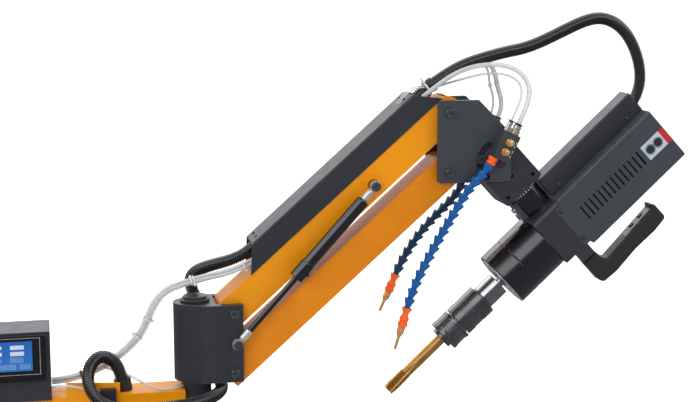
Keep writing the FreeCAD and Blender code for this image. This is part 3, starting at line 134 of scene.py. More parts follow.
class Shader:
    """A node material that is built up step by step, in object coordinates."""

    def __init__(self, name):
        self.material = bpy.data.materials.new(name)
        self.material.use_nodes = True
        self.tree = self.material.node_tree
        self.surface = self.tree.nodes["Principled BSDF"]
        self.place = self.add("ShaderNodeTexCoord").outputs["Object"]

    def add(self, kind, **inputs):
        node = self.tree.nodes.new(kind)
        for name, value in inputs.items():
            put(self.tree, node, name, value)
        return node

    def set(self, **inputs):
        for name, value in inputs.items():
            put(self.tree, self.surface, name, value)
        return self

    def noise(self, scale, detail=3.0, roughness=0.5):
        node = self.add("ShaderNodeTexNoise", Vector=self.place, Scale=scale, Detail=detail,
                        Roughness=roughness)
        return node.outputs["Fac"]

    def ramp(self, value, low, high, start=0.35, end=0.65):
        """Colour from low to high as value goes from start to end."""
        node = self.add("ShaderNodeValToRGB", Fac=value)
        node.color_ramp.elements[0].position = start
        node.color_ramp.elements[0].color = (*low, 1)
        node.color_ramp.elements[1].position = end
        node.color_ramp.elements[1].color = (*high, 1)
        return node.outputs["Color"]

    def spread(self, value, low, high):
        """Value mapped from 0.3..0.7 to low..high."""
        node = self.add("ShaderNodeMapRange", Value=value, From_Min=0.3, From_Max=0.7, To_Min=low,
                        To_Max=high)
        return node.outputs["Result"]

    def mix(self, factor, one, two):
        node = self.tree.nodes.new("ShaderNodeMix")
        node.data_type = "RGBA"
        for socket, value in ((0, factor), (6, one), (7, two)):
            put(self.tree, node, socket, value)
        return node.outputs[2]

    def edges(self, radius):
        """Mask that is bright along sharp edges."""
        bevel = self.add("ShaderNodeBevel", Radius=radius)
        bevel.samples = 4
        flat = self.add("ShaderNodeNewGeometry").outputs["Normal"]
        dot = self.tree.nodes.new("ShaderNodeVectorMath")
        dot.operation = "DOT_PRODUCT"
        put(self.tree, dot, 0, bevel.outputs["Normal"])
        put(self.tree, dot, 1, flat)
        mask = self.add("ShaderNodeMapRange", Value=dot.outputs["Value"], From_Min=0.99, From_Max=0.86,
                        To_Min=0.0, To_Max=1.0)
        return mask.outputs["Result"]

    def bump(self, height, strength, distance):
        node = self.add("ShaderNodeBump", Height=height, Strength=strength, Distance=distance)
        return self.set(Normal=node.outputs["Normal"])


def shade(colour, factor):
    return tuple(min(1.0, channel * factor) for channel in colour)


def painted(name, colour, rough, grain, grain_depth, edge_wear_and_highlight, metallic=0.0, coat=0.0, specular=0.5):
    """Paint or anodising: slow colour drift, edges lighter from wear and a painted highlight, fine grain and
    uneven gloss.
    """
    shader = Shader(name)
    drift = shader.noise(9.0, 4.0, 0.6)
    body = shader.ramp(drift, shade(colour, 0.93), shade(colour, 1.06))
    broken = shader.spread(shader.noise(160.0, 4.0), 0.0, 0.8)
    # Lighter colour along sharp edges, broken up by noise: partly wear, partly a painted highlight.
    edge = maths(shader.tree, "MULTIPLY", shader.edges(0.0011), broken)
    body = shader.mix(edge, body, (*edge_wear_and_highlight, 1))
    gloss = shader.spread(shader.noise(45.0, 5.0, 0.6), rough - 0.05, rough + 0.06)
    shader.set(Base_Color=body, Roughness=gloss, Metallic=metallic, Coat_Weight=coat, Coat_Roughness=0.12,
               Specular_IOR_Level=specular)
    return shader.bump(shader.noise(grain, 2.0), grain_depth, 0.00025).material


def metal(name, colour, rough, tint=None, metallic=1.0):
    """Bare metal with fine machining marks and small stains."""
    shader = Shader(name)
    body = shader.ramp(shader.noise(60.0, 5.0), tint or shade(colour, 0.82), colour)
    gloss = shader.spread(shader.noise(220.0, 4.0, 0.6), rough * 0.8, rough * 1.3)
    shader.set(Base_Color=body, Roughness=gloss, Metallic=metallic)
    return shader.bump(shader.noise(900.0, 2.0), 0.08, 0.0001).material


def plastic(name, colour, rough, depth=0.05, grain=700.0, specular=0.5, subsurface=0.0):
    """Moulded plastic with a fine grain and a slight drift of colour."""
    shader = Shader(name)
    body = shader.ramp(shader.noise(30.0, 3.0), shade(colour, 0.9), shade(colour, 1.08))
    gloss = shader.spread(shader.noise(120.0, 3.0), rough - 0.04, rough + 0.08)
    shader.set(Base_Color=body, Roughness=gloss, Specular_IOR_Level=specular, Subsurface_Weight=subsurface,
               Subsurface_Scale=0.002)
    return shader.bump(shader.noise(grain, 2.0), depth, 0.0002).material


def clear_plastic(name, colour, alpha, rough):
    """Milky see-through tube: denser where the wall is seen edge on, and darker there as painted shade."""
    shader = Shader(name)
    facing = shader.add("ShaderNodeLayerWeight", Blend=0.35).outputs["Facing"]
    cloud = shader.ramp(shader.noise(90.0, 3.0), shade(colour, 0.94), colour)
    # The colour darkens towards the edges seen edge on: painted shade.
    body = shader.mix(facing, cloud, (*shade(colour, 0.62), 1))
    density = shader.add("ShaderNodeMapRange", Value=facing, From_Min=0.0, From_Max=1.0, To_Min=alpha,
                         To_Max=min(1.0, alpha + 0.38)).outputs["Result"]
    shader.set(Base_Color=body, Roughness=rough, Alpha=density, Coat_Weight=0.4, Coat_Roughness=0.05)
    return shader.bump(shader.noise(300.0, 2.0), 0.04, 0.0002).material


def screen_material(name, low, high):
    """Lit display: a smooth change of blue from top to bottom behind glass."""
    shader = Shader(name)
    height = shader.add("ShaderNodeSeparateXYZ", Vector=shader.place).outputs["Z"]
    corner, far_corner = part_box("touch_screen")
    share = shader.add("ShaderNodeMapRange", Value=height, From_Min=corner.z, From_Max=far_corner.z,
                       To_Min=0.0, To_Max=1.0).outputs["Result"]
    glow = shader.ramp(share, low, high, 0.0, 1.0)
    fine = shader.noise(1400.0, 1.0)
    shader.set(Base_Color=glow, Emission_Color=glow, Emission_Strength=0.12, Roughness=0.12, Coat_Weight=0.5,
               Coat_Roughness=0.03)
    return shader.bump(fine, 0.01, 0.0001).material


orange = (0.78, 0.28, 0.002)
black_coat = (0.026, 0.029, 0.037)
black_film = (0.046, 0.051, 0.062)
# Each painted finish gives a lighter edge colour: partly wear, partly a painted highlight.
finishes = {
    "orange_paint": (painted, orange, 0.34, 1500.0, 0.06, (0.86, 0.42, 0.05), 0.0, 0.0, 0.25),
    # deep_orange: a darker copy of the orange paint for the lower arm, painted shade
    "deep_orange": (painted, (0.68, 0.21, 0.002), 0.34, 1500.0, 0.06, (0.80, 0.38, 0.05), 0.0, 0.0, 0.25),
    "black_paint": (painted, black_coat, 0.36, 2600.0, 0.30, (0.14, 0.15, 0.17)),
    "black_anodised": (painted, black_film, 0.34, 3200.0, 0.22, (0.16, 0.165, 0.18)),
    "gloss_black": (painted, (0.006, 0.007, 0.010), 0.13, 600.0, 0.03, (0.10, 0.10, 0.11), 0.0, 0.6),
    "satin_black": (painted, (0.020, 0.022, 0.028), 0.20, 900.0, 0.05, (0.20, 0.21, 0.23), 0.0, 0.8, 1.0),
    "dark_rod": (painted, (0.010, 0.010, 0.012), 0.14, 500.0, 0.02, (0.05, 0.05, 0.05), 0.2, 0.5),
    "black_plastic": (plastic, (0.020, 0.021, 0.024), 0.42, 0.25, 2400.0),
    "conduit_plastic": (plastic, (0.010, 0.0105, 0.012), 0.20, 0.03, 800.0, 1.0),
    "blue_plastic": (plastic, (0.001, 0.100, 0.36), 0.30, 0.06, 500.0, 0.5, 0.1),
    # deep_blue: a darker copy of the blue plastic for the rear hose, painted shade
    "deep_blue": (plastic, (0.006, 0.045, 0.115), 0.34, 0.06, 500.0),
    "orange_plastic": (plastic, (0.95, 0.125, 0.002), 0.34, 0.06, 500.0, 0.5, 0.1),
    "red_plastic": (plastic, (0.56, 0.010, 0.018), 0.35),
    "white_print": (plastic, (0.78, 0.78, 0.76), 0.5, 0.02),
    "label_blue": (plastic, (0.42, 0.50, 0.57), 0.38, 0.02),
    "screen_field": (plastic, (0.58, 0.68, 0.80), 0.3, 0.01),
    "screen_dim": (plastic, (0.10, 0.24, 0.50), 0.3, 0.01),
    "steel": (metal, (0.55, 0.55, 0.56), 0.30, None, 0.8),
    "dark_steel": (metal, (0.11, 0.115, 0.125), 0.26, None, 0.7),
    "silver": (metal, (0.62, 0.63, 0.64), 0.26, None, 0.6),
    "chrome": (metal, (0.44, 0.45, 0.48), 0.12),
    "brass": (metal, (0.82, 0.50, 0.20), 0.26, (0.66, 0.38, 0.14), 0.55),
    "nickel": (metal, (0.62, 0.58, 0.52), 0.22, None, 0.65),
    "gold_steel": (metal, (0.56, 0.31, 0.085), 0.30, (0.42, 0.21, 0.05), 0.75),
    "grey_aluminium": (painted, (0.035, 0.037, 0.042), 0.30, 2000.0, 0.08, (0.2, 0.2, 0.2), 0.4),
    "clear_tube": (clear_plastic, (0.70, 0.73, 0.76), 0.62, 0.16),
    "tie_plastic": (clear_plastic, (0.76, 0.78, 0.80), 0.85, 0.3),
    # dark_hole: near-black for blocks laid on slits and notches, painted shade
    "dark_hole": (plastic, (0.004, 0.004, 0.004), 0.7),
    "black_glass": (plastic, (0.006, 0.006, 0.008), 0.08, 0.0, 400.0),
    "screen_glass": (screen_material, (0.020, 0.145, 0.50), (0.010, 0.095, 0.38)),
}
materials = {name: make(name, *values) for name, (make, *values) in finishes.items()}


# Mesh helpers
# The lower arm takes the darker copy of the orange paint, as painted shade.
finish_of = {"lower_arm": "deep_orange", "button_plate": "dark_steel", "start_button": "black_plastic",
             "reverse_button": "black_plastic", "motor_cover": "black_anodised", "elbow_block": "black_paint",
             "gear_block": "black_paint", "tilt_block": "black_paint"}
world = Matrix.Identity(4)
facing = Matrix(((1, 0, 0, 0), (0, 0, -1, 0), (0, 1, 0, 0), (0, 0, 0, 1)))


def linked(name, data):
    """A new object in the scene."""
    obj = bpy.data.objects.new(name, data)
    bpy.context.scene.collection.objects.link(obj)
    return obj


def piece(name, bm, material, body, degrees=32.0):
    """Link a mesh as a piece of the object that rides on a body."""
    mesh = bpy.data.meshes.new(name)
    bmesh.ops.recalc_face_normals(bm, faces=bm.faces)
    bm.to_mesh(mesh)
    bm.free()
    mesh.materials.append(materials[material])
    for polygon in mesh.polygons:
        polygon.use_smooth = True
    mesh.set_sharp_from_angle(angle=math.radians(degrees))
    obj = linked(name, mesh)
    if body:
        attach(obj, body)
        obj.modifiers.new("normals", "WEIGHTED_NORMAL").keep_sharp = True
    return obj


def frame_at(origin, ahead, across):
    """A frame with local Z ahead and local X as near to across as it can be."""
    ahead = ahead.normalized()
    across = (across - ahead * across.dot(ahead)).normalized()
    matrix = Matrix((across, ahead.cross(across), ahead)).transposed().to_4x4()
    matrix.translation = origin
    return matrix


def shifted(frame, x=0.0, y=0.0, z=0.0):
    """A frame moved along its own axes, in millimetres."""
    return frame @ Matrix.Translation(Vector((x, y, z)) * mm)


def row_about(bm, place, reach, height, segments):
    """Closed row of points about local Z, in millimetres; reach gives the radius at each turn."""
    points = []
    for index in range(segments):
        turn = 2 * math.pi * index / segments
        radius = reach(turn)
        point = Vector((radius * math.cos(turn), radius * math.sin(turn), height)) * mm
        points.append(bm.verts.new(place @ point))
    return points


def ring(bm, place, radius, height=0.0, segments=64):
    """Circle of points about local Z, in millimetres; a radius of zero gives its middle."""
    if radius <= 0:
        return [bm.verts.new(place @ (Vector((0, 0, height)) * mm))]
    return row_about(bm, place, lambda turn: radius, height, segments)


def stitch(bm, rings, closed=False):
    """Faces between neighbouring rings of points; a ring of one point is a tip."""
    pairs = list(zip(rings, rings[1:]))
    if closed:
        pairs.append((rings[-1], rings[0]))
    for low, high in pairs:
        count = max(len(low), len(high))
        for index in range(count):
            ahead = (index + 1) % count
            if len(low) == 1:
                bm.faces.new((low[0], high[ahead], high[index]))
            elif len(high) == 1:
                bm.faces.new((low[index], low[ahead], high[0]))
            else:
                bm.faces.new((low[index], low[ahead], high[ahead], high[index]))


def lathe(bm, profile, place, segments=64, closed=False):
    """Turn a (radius, height) profile about local Z. Zero radii close the ends, or the profile is a loop."""
    stitch(bm, [ring(bm, place, radius, height, segments) for radius, height in profile], closed)


def rounded(points, radius, steps=3):
    """A profile with its inner corners rounded, in millimetres."""
    out = [points[0]]
    for before, corner, after in zip(points, points[1:], points[2:]):
        corner = Vector(corner)
        back = Vector(before) - corner
        ahead = Vector(after) - corner
        cut = min(radius, back.length * 0.45, ahead.length * 0.45)
        start = corner + back.normalized() * cut
        end = corner + ahead.normalized() * cut
        for step in range(steps + 1):
            share = step / steps
            out.append(tuple(start.lerp(corner, share).lerp(corner.lerp(end, share), share)))
    out.append(points[-1])
    return out


def prism(bm, outline, place, low, high):
    """Extrude a closed (a, b) outline along local Z from low to high, in millimetres."""
    rows = []
    for height in (low, high):
        rows.append([bm.verts.new(place @ (Vector((a, b, height)) * mm)) for a, b in outline])
    bm.faces.new(list(reversed(rows[0])))
    bm.faces.new(rows[1])
    count = len(outline)
    for index in range(count):
        ahead = (index + 1) % count
        bm.faces.new((rows[0][index], rows[0][ahead], rows[1][ahead], rows[1][index]))


def rectangle(a, b, corner=0.0, steps=4):
    """Outline of a rectangle between pairs of low and high values, with round corners."""
    if corner <= 0:
        return [(a[0], b[0]), (a[1], b[0]), (a[1], b[1]), (a[0], b[1])]
    points = []
    centres = ((a[1] - corner, b[1] - corner), (a[0] + corner, b[1] - corner), (a[0] + corner, b[0] + corner),
               (a[1] - corner, b[0] + corner))
    for quarter, (x, y) in enumerate(centres):
        for step in range(steps + 1):
            turn = (quarter + step / steps) * math.pi / 2
            points.append((x + corner * math.cos(turn), y + corner * math.sin(turn)))
    return points


def regular(across, sides=6):
    """Outline of a regular polygon, in millimetres across its flats."""
    reach = across / 2 / math.cos(math.pi / sides)
    turns = [2 * math.pi * index / sides for index in range(sides)]
    return [(reach * math.cos(turn), reach * math.sin(turn)) for turn in turns]


def block(bm, place, size, corner=0.0):
    """Box about the origin of a frame, in millimetres."""
    x, y, z = (value / 2 for value in size)
    prism(bm, rectangle((-x, x), (-y, y), corner), place, -z, z)


def plate(bm, frame, x, z, front, thickness, corner=0.0):
    """Plate in local X and Z that stands on a face at local Y = -front and looks towards -Y."""
    prism(bm, rectangle(x, z, corner), frame @ facing, front, front + thickness)


def socket_cap(bm, place, radius, height, across, depth, segments=48):
    """Round screw head on local Z = 0 with a shallow dish and a hexagonal socket."""
    edge = radius * 0.11
    dish = height - edge * 0.8

    def hexagon(turn):
        return across / 2 / math.cos(turn % (math.pi / 3) - math.pi / 6)

    rows = [ring(bm, place, 0, 0)]
    for reach, level in ((radius, 0), (radius, height - edge), (radius - edge, height),
                         (radius * 0.72, height), (radius * 0.66, dish)):
        rows.append(ring(bm, place, reach, level, segments))
    for level in (dish, height - depth):
        rows.append(row_about(bm, place, hexagon, level, segments))
    rows.append(ring(bm, place, 0, height - depth - across * 0.12))
    stitch(bm, rows)


dome_shares = ((0, 0), (1, 0), (0.97, 0.4), (0.8, 0.8), (0.5, 1), (0.45, 1), (0.4, 0.3), (0, 0.2))


def dome_screw(bm, place, radius, height):
    """Domed screw head with a round recess."""
    lathe(bm, [(radius * wide, height * high) for wide, high in dome_shares], place, 36)


def bevelled(obj, width, segments=2, degrees=32.0):
    obj.modifiers.clear()
    bevel = obj.modifiers.new("edges", "BEVEL")
    bevel.width = width * mm
    bevel.segments = segments
    bevel.limit_method = "ANGLE"
    bevel.angle_limit = math.radians(degrees)
    bevel.harden_normals = False
    obj.modifiers.new("normals", "WEIGHTED_NORMAL")
    return obj


def refined(node, width=0.6, segments=2):
    """A copy of a CAD node with softened edges, which takes the node's place."""
    source = nodes[node]
    bm = bmesh.new()
    bm.from_mesh(source.data)
    bmesh.ops.remove_doubles(bm, verts=bm.verts, dist=1e-6)
    bmesh.ops.dissolve_limit(bm, angle_limit=math.radians(0.8), verts=bm.verts, edges=bm.edges)
    material = finish_of.get(node, slot_of[node])
    obj = piece(node + "_finish", bm, material, source["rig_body"])
    for edge in obj.data.edges:
        edge.use_edge_sharp = False
    bevelled(obj, width, segments)
    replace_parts(obj, node)
    return obj


slot_of = {part["node"]: part["material_slot"] for part in frame["record"]["subparts"]}
for name, obj in nodes.items():
    obj.data.materials.clear()
    obj.data.materials.append(materials[finish_of.get(name, slot_of[name])])
    for polygon in obj.data.polygons:
        polygon.use_smooth = True
    obj.data.set_sharp_from_angle(angle=math.radians(32))

# Flat and cast pieces: the CAD form with softened edges
edge_widths = (
    ("base_plate", 1.2), ("first_arm_beam", 1.2), ("cable_tab", 0.6), ("control_box_base", 1.2),
    ("control_box_cover", 1.0), ("elbow_block", 0.9), ("upper_arm", 1.4), ("lower_arm", 1.4),
    ("cable_cover", 0.8), ("bracket_plates", 0.8), ("valve_blocks", 0.5), ("tilt_block", 0.9),
    ("gear_block", 0.8), ("motor_cover", 0.5), ("cable_box", 0.8), ("handle_bracket", 0.8),
    ("screen_bezel", 0.6), ("power_switch", 0.5), ("column_post", 0.4))
for name, width in edge_widths:
    refined(name, width)


# Lines of the conduits, tubes and hoses
class Line:
    """The smooth line of a route, with distances along it in millimetres."""

    def __init__(self, name, points, across=Vector((0.3, 0.9, 0.3))):
        curve = bpy.data.curves.new(name, "CURVE")
        curve.dimensions = "3D"
        spline = curve.splines.new("NURBS")
        spline.points.add(len(points) - 1)
        for control, point in zip(spline.points, points):
            control.co = (*point, 1)
        spline.order_u = 3
        spline.use_endpoint_u = True
        mesh = bpy.data.meshes.new_from_object(bpy.data.objects.new(name, curve))
        self.points = [vertex.co.copy() for vertex in mesh.vertices]
        self.marks = [0.0]
        for near, far in zip(self.points, self.points[1:]):
            self.marks.append(self.marks[-1] + (far - near).length / mm)
        self.length = self.marks[-1]
        self.ahead = []
        self.across = []
        for index in range(len(self.points)):
            near = self.points[max(index - 1, 0)]
            far = self.points[min(index + 1, len(self.points) - 1)]
            ahead = (far - near).normalized()
            across = (across - ahead * across.dot(ahead)).normalized()
            self.ahead.append(ahead)
            self.across.append(across)

    def place(self, distance):
        """A frame on the line, or straight on past its ends: local Z ahead, local X carried without twist."""
        index = min(max(bisect.bisect_right(self.marks, distance) - 1, 0), len(self.marks) - 2)
        share = (distance - self.marks[index]) / (self.marks[index + 1] - self.marks[index])
        inside = min(max(share, 0.0), 1.0)
        return frame_at(self.points[index].lerp(self.points[index + 1], share),
                        self.ahead[index].lerp(self.ahead[index + 1], inside),
                        self.across[index].lerp(self.across[index + 1], inside))

    def chord(self, start, end):
        """A frame at one distance with local Z straight towards another."""
        near = self.place(start)
        return frame_at(near.translation, self.place(end).translation - near.translation, near.col[0].to_3d())


def sweep(bm, line, stations, segments, beside=None):
    """Closed tube along a line through (distance, radius) stations; beside places a strand off the line."""
    rows = []
    for distance, radius in stations:
        place = line.place(distance)
        if beside:
            place = shifted(place, *beside(distance))
        if not rows:
            rows.append(ring(bm, place, 0))
        rows.append(ring(bm, place, radius, 0, segments))
    rows.append(ring(bm, place, 0))
    stitch(bm, rows)


def even(start, end, radius, step=4.0):
    """Stations of one radius at even steps."""
    count = max(2, round((end - start) / step))
    return [(start + (end - start) * index / count, radius) for index in range(count + 1)]


# Where each cord that crosses a joint bends, in metres: bodies, start and end
bends = {
    "elbow_conduit_lower": ("first_arm", "elbow", (0.300, -0.030, 0.260), (0.3756, 0.0456, 0.2978)),
    "elbow_conduit_upper": ("elbow", "upper_arm", (0.323, 0.061, 0.398), (0.379, 0.061, 0.510)),
    "elbow_tubes_lower": ("first_arm", "elbow", (0.247, -0.009, 0.424), (0.3057, -0.009, 0.4416)),
    "elbow_tubes_upper": ("elbow", "upper_arm", (0.315, -0.011, 0.450), (0.4049, -0.011, 0.477)),
    "head_conduit_a": ("upper_arm", "head_bracket", (0.665, 0.0, 0.730), (0.801, 0.0, 0.798)),
    "head_conduit_b": ("head_bracket", "tilt", (0.812, 0.0, 0.812), (0.920, 0.0, 0.843)),
    "head_conduit_c": ("tilt", "head", (0.7778, 0.0, 0.6827), (0.8795, 0.0, 0.5725)),
    "head_tubes": ("head_bracket", "upper_arm", (0.790, 0.0, 0.775), (0.700, 0.0, 0.750)),
}


def bent(obj):
    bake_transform(obj)
    return obj


def cord(name, bm, material, node, degrees=32.0):
    """A piece for a cord, on no body and baked in place, in the place of a CAD node."""
    obj = bent(piece(name, bm, material, None, degrees))
    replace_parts(obj, node)
    return obj


# Ribbed conduits
rib_pitch = 3.9
rib_root = 8.8
rib_profile = ((0.0, 8.8), (0.18, 8.8), (0.34, 10.35), (0.42, 10.6), (0.58, 10.6), (0.66, 10.35), (0.82, 8.8))
plain_end = 10.6


def conduit(name, points, plain_start, plain_stop, across=Vector((0.3, 0.9, 0.3))):
    """Corrugated conduit with plain stretches where it sits in a gland or hole."""
    line = Line(name, points, across)
    run = line.length - plain_start - plain_stop
    count = round(run / rib_pitch)
    pitch = run / count
    stations = [(0, rib_root)] if plain_start else []
    for rib in range(count):
        stations += [(plain_start + (rib + share) * pitch, radius) for share, radius in rib_profile]
    stations += [(line.length - plain_stop, rib_root)]
    if plain_stop:
        stations += [(line.length, rib_root)]
    bm = bmesh.new()
    sweep(bm, line, stations, 26)
    cord(name + "_ribs", bm, "conduit_plastic", name, 50.0)
    return line


lower_conduit = conduit("elbow_conduit_lower", (
    (0.189, -0.004, 0.283), (0.185, -0.005, 0.306), (0.172, -0.009, 0.328), (0.152, -0.019, 0.337),
    (0.135, -0.033, 0.325), (0.130, -0.047, 0.301), (0.141, -0.057, 0.277), (0.165, -0.061, 0.262),
    (0.196, -0.061, 0.257), (0.230, -0.060, 0.255), (0.265, -0.059, 0.256), (0.297, -0.056, 0.258),
    (0.326, -0.046, 0.261), (0.346, -0.024, 0.264), (0.354, 0.005, 0.265), (0.354, 0.036, 0.266),
    (0.349, 0.060, 0.277), (0.342, 0.068, 0.302), (0.338, 0.066, 0.330), (0.335, 0.064, 0.351)), plain_end, 0)
conduit("elbow_conduit_upper", (
    (0.335, 0.064, 0.351), (0.332, 0.062, 0.372), (0.323, 0.061, 0.398), (0.310, 0.058, 0.423),
    (0.307, 0.047, 0.447), (0.322, 0.033, 0.463), (0.347, 0.021, 0.472), (0.373, 0.012, 0.480),
    (0.400, 0.008, 0.493), (0.424, 0.008, 0.515)), 0, 0, lower_conduit.across[-1])
head_line = conduit("head_conduit_a", (
    (0.655, 0.0, 0.714), (0.678, 0.0, 0.740), (0.706, 0.0, 0.763), (0.738, 0.0, 0.784), (0.771, 0.0, 0.801),
    (0.805, 0.0, 0.810)), 0, 0)
conduit("head_conduit_b", (
    (0.805, 0.0, 0.810), (0.8356, 0.0, 0.8181), (0.867, 0.0, 0.823), (0.898, 0.0, 0.833),
    (0.926, 0.0, 0.846)), 0, 0)
conduit("head_conduit_c", (
    (0.926, 0.0, 0.846), (0.9512, 0.0, 0.8577), (0.977, 0.0, 0.869), (1.005, 0.0, 0.875), (1.032, 0.0, 0.867),
    (1.054, 0.0, 0.848), (1.069, 0.0, 0.823), (1.0785, 0.0, 0.797), (1.082, 0.0, 0.7725),
    (1.079, 0.0, 0.749), (1.0695, 0.0, 0.728)), 0, plain_end)

# Clear tubes: a bundle of four over the elbow and a pair to each valve block
strand_radius = 2.75
strand_spread = 3.9
strand_twist = math.radians(0.22)


def bundle(bm, line, phase):
    """Four tubes that lie about a line with a slow twist."""
    for strand in range(4):
        def beside(distance, turn=strand * math.pi / 2 + phase):
            turn += strand_twist * distance
            return (strand_spread * math.cos(turn), strand_spread * math.sin(turn), 0)
        sweep(bm, line, even(0, line.length, strand_radius), 12, beside)


tubes = bmesh.new()
lower_tubes = Line("elbow_tubes_lower", (
    (0.0746, 0.009, 0.291), (0.097, 0.009, 0.292), (0.124, 0.010, 0.298), (0.152, 0.011, 0.308),
    (0.178, 0.009, 0.323), (0.201, 0.002, 0.343), (0.220, -0.005, 0.366), (0.232, -0.008, 0.392),
    (0.243, -0.009, 0.418), (0.259, -0.009, 0.436), (0.281, -0.009, 0.446), (0.305, -0.010, 0.452)))
bundle(tubes, lower_tubes, 0.4)
tab_tube = Line("tab_tube", (
    (0.0746, -0.024, 0.290), (0.088, -0.031, 0.294), (0.104, -0.0345, 0.293), (0.122, -0.0355, 0.289),
    (0.135, -0.036, 0.286), (0.1487, -0.036, 0.2815)))
side_tubes = bmesh.new()
sweep(side_tubes, tab_tube, even(0, tab_tube.length, 2.2), 12)
beam_tube = Line("beam_tube", (
    (0.160, 0.010, 0.309), (0.180, 0.002, 0.303), (0.200, -0.008, 0.298), (0.222, -0.018, 0.286),
    (0.242, -0.025, 0.2765), (0.262, -0.025, 0.2757), (0.280, -0.018, 0.2757), (0.2862, -0.0095, 0.2757)))
sweep(side_tubes, beam_tube, even(0, beam_tube.length, 2.2), 12)
piece("side_tubes", side_tubes, "clear_tube", "first_arm", 60.0)
cord("elbow_tubes_lower_bundle", tubes, "clear_tube",
     "elbow_tubes_lower", 60.0)
tubes = bmesh.new()
upper_tubes = Line("elbow_tubes_upper", (
    (0.305, -0.010, 0.452), (0.329, -0.011, 0.458), (0.355, -0.014, 0.463), (0.381, -0.017, 0.471),
    (0.408, -0.018, 0.485)), lower_tubes.across[-1])
bundle(tubes, upper_tubes, 0.4 + strand_twist * lower_tubes.length)
cord("elbow_tubes_upper_bundle", tubes, "clear_tube",
     "elbow_tubes_upper", 60.0)

head_tube_routes = {
    "front_tube_small": (4.0, (
        (0.8316, -0.0563, 0.7058), (0.840, -0.0555, 0.724), (0.850, -0.051, 0.742), (0.854, -0.045, 0.760),
        (0.848, -0.037, 0.775), (0.829, -0.029, 0.784), (0.800, -0.019, 0.785), (0.769, -0.009, 0.777),
        (0.741, 0.008, 0.767), (0.712, 0.017, 0.757), (0.688, 0.018, 0.745))),
    "front_tube_large": (8.0, (
        (0.844, -0.0563, 0.6998), (0.8535, -0.0555, 0.720), (0.864, -0.050, 0.741), (0.868, -0.043, 0.763),
        (0.858, -0.036, 0.784), (0.836, -0.028, 0.797), (0.807, -0.021, 0.800), (0.776, -0.017, 0.796),
        (0.746, -0.016, 0.785), (0.717, -0.018, 0.767), (0.690, -0.020, 0.747))),
    "rear_tube_small": (4.0, (
        (0.8316, 0.0563, 0.7058), (0.837, 0.0555, 0.722), (0.834, 0.051, 0.741), (0.826, 0.045, 0.760),
        (0.822, 0.038, 0.778), (0.815, 0.029, 0.793), (0.797, 0.023, 0.799), (0.770, 0.022, 0.790),
        (0.742, 0.023, 0.775), (0.716, 0.025, 0.758), (0.694, 0.027, 0.743))),
    "rear_tube_large": (8.0, (
        (0.844, 0.0563, 0.6998), (0.851, 0.0555, 0.716), (0.849, 0.051, 0.736), (0.840, 0.045, 0.756),
        (0.834, 0.038, 0.776), (0.825, 0.031, 0.793), (0.806, 0.025, 0.804), (0.780, 0.021, 0.803),
        (0.752, 0.020, 0.792), (0.725, 0.022, 0.777), (0.701, 0.023, 0.758))),
}
head_tube_lines = {}
for name, (diameter, points) in head_tube_routes.items():
    line = Line(name, points)
    tubes = bmesh.new()
    sweep(tubes, line, even(0, line.length, diameter / 2), 16)
    cord(name, tubes, "clear_tube", "head_tubes", 60.0)
    head_tube_lines[name] = line


# Ties and clamps
tie_thickness = 1.1


def band(bm, place, radius, width, thickness, squash=1.0):
    """Strap round local Z; squash flattens it across local Y."""
    place = place @ Matrix.Diagonal((1, squash, 1, 1))
    half = width / 2
    outer = radius + thickness
    lathe(bm, [(radius, -half), (outer, -half), (outer, half), (radius, half)], place, 32, True)


def tie(bm, place, radius, width, turn, tail, squash=1.0):
    """Cable tie with a square head on one side and its cut tail beside the head."""
    band(bm, place, radius, width, tie_thickness, squash)
    head_place = place @ Matrix.Rotation(math.radians(turn), 4, "Z")
    block(bm, shifted(head_place, radius + 2.2, 0, 0), (3.6, width + 1.8, width + 1.8), 0.5)
    block(bm, shifted(head_place, radius + 2.2 + tail / 2, 0.6, 0), (tail, 1.0, width * 0.9), 0.3)


# Each set of ties: its piece, material and carrier, then for each tie its line, the distance on it, radius,
# width, turn of the head, length of the tail and flattening
on_bundle = 6.9
rear_small = head_tube_lines["rear_tube_small"]
rear_large = head_tube_lines["rear_tube_large"]
tie_sets = (
    ("black_cable_tie", "black_plastic", "first_arm", ((lower_tubes, 49, on_bundle, 3.6, 250, 6),)),
    ("clear_cable_ties", "tie_plastic", "first_arm", (
        (lower_tubes, 165, on_bundle, 2.6, 80, 5), (lower_tubes, 199, on_bundle, 2.6, 250, 0.6))),
    ("elbow_cable_ties", "tie_plastic", "elbow", (
        (lower_tubes, lower_tubes.length - 1.5, on_bundle, 2.4, 20, 4),
        (upper_tubes, 3.0, on_bundle, 2.4, 200, 4))),
    ("cover_cable_tie", "tie_plastic", "elbow_tubes_upper", (
        (upper_tubes, upper_tubes.length - 20, on_bundle, 2.6, 250, 4),)),
    ("rear_tube_ties", "tie_plastic", "head_tubes", (
        (rear_small, 57, 3.4, 2.4, 180, 3, 0.9), (rear_large, 67, 4.4, 2.4, 0, 3, 0.9))),
)
for name, material, carrier, places in tie_sets:
    ties = bmesh.new()
    for line, distance, *form in places:
        tie(ties, line.place(distance), *form)
    if carrier in bends:
        bent(piece(name, ties, material, None))
    else:
        piece(name, ties, material, carrier)
clamp = bmesh.new()
band(clamp, head_line.place(76), 10.7, 9.0, 1.6)
block(clamp, shifted(head_line.place(76), -13.4, 0, 0), (3.2, 8.0, 9.0), 0.8)
bent(piece("conduit_clamp", clamp, "black_plastic", None))
strap = bmesh.new()
tie(strap, head_line.place(66), 12.2, 3.6, 115, 10)
bent(piece("conduit_tie", strap, "tie_plastic", None))

tail_points = [arm @ (Vector(point) * mm) for point in (
    (431.3, -14.0, 64.6), (439.7, -13.5, 68.0), (450.6, -13.0, 69.4), (460.9, -12.5, 68.6),
    (469.8, -12.0, 66.0), (477.5, -11.5, 61.3), (483.6, -11.0, 56.4))]
tail_line = Line("cover_tail", tail_points)
wires = bmesh.new()
for offset in (-1.5, 1.5):
    sweep(wires, tail_line, even(0, tail_line.length, 0.9), 8, lambda distance: (offset, offset, 0))
bent(piece("cover_tail_wires", wires, "tie_plastic", None))

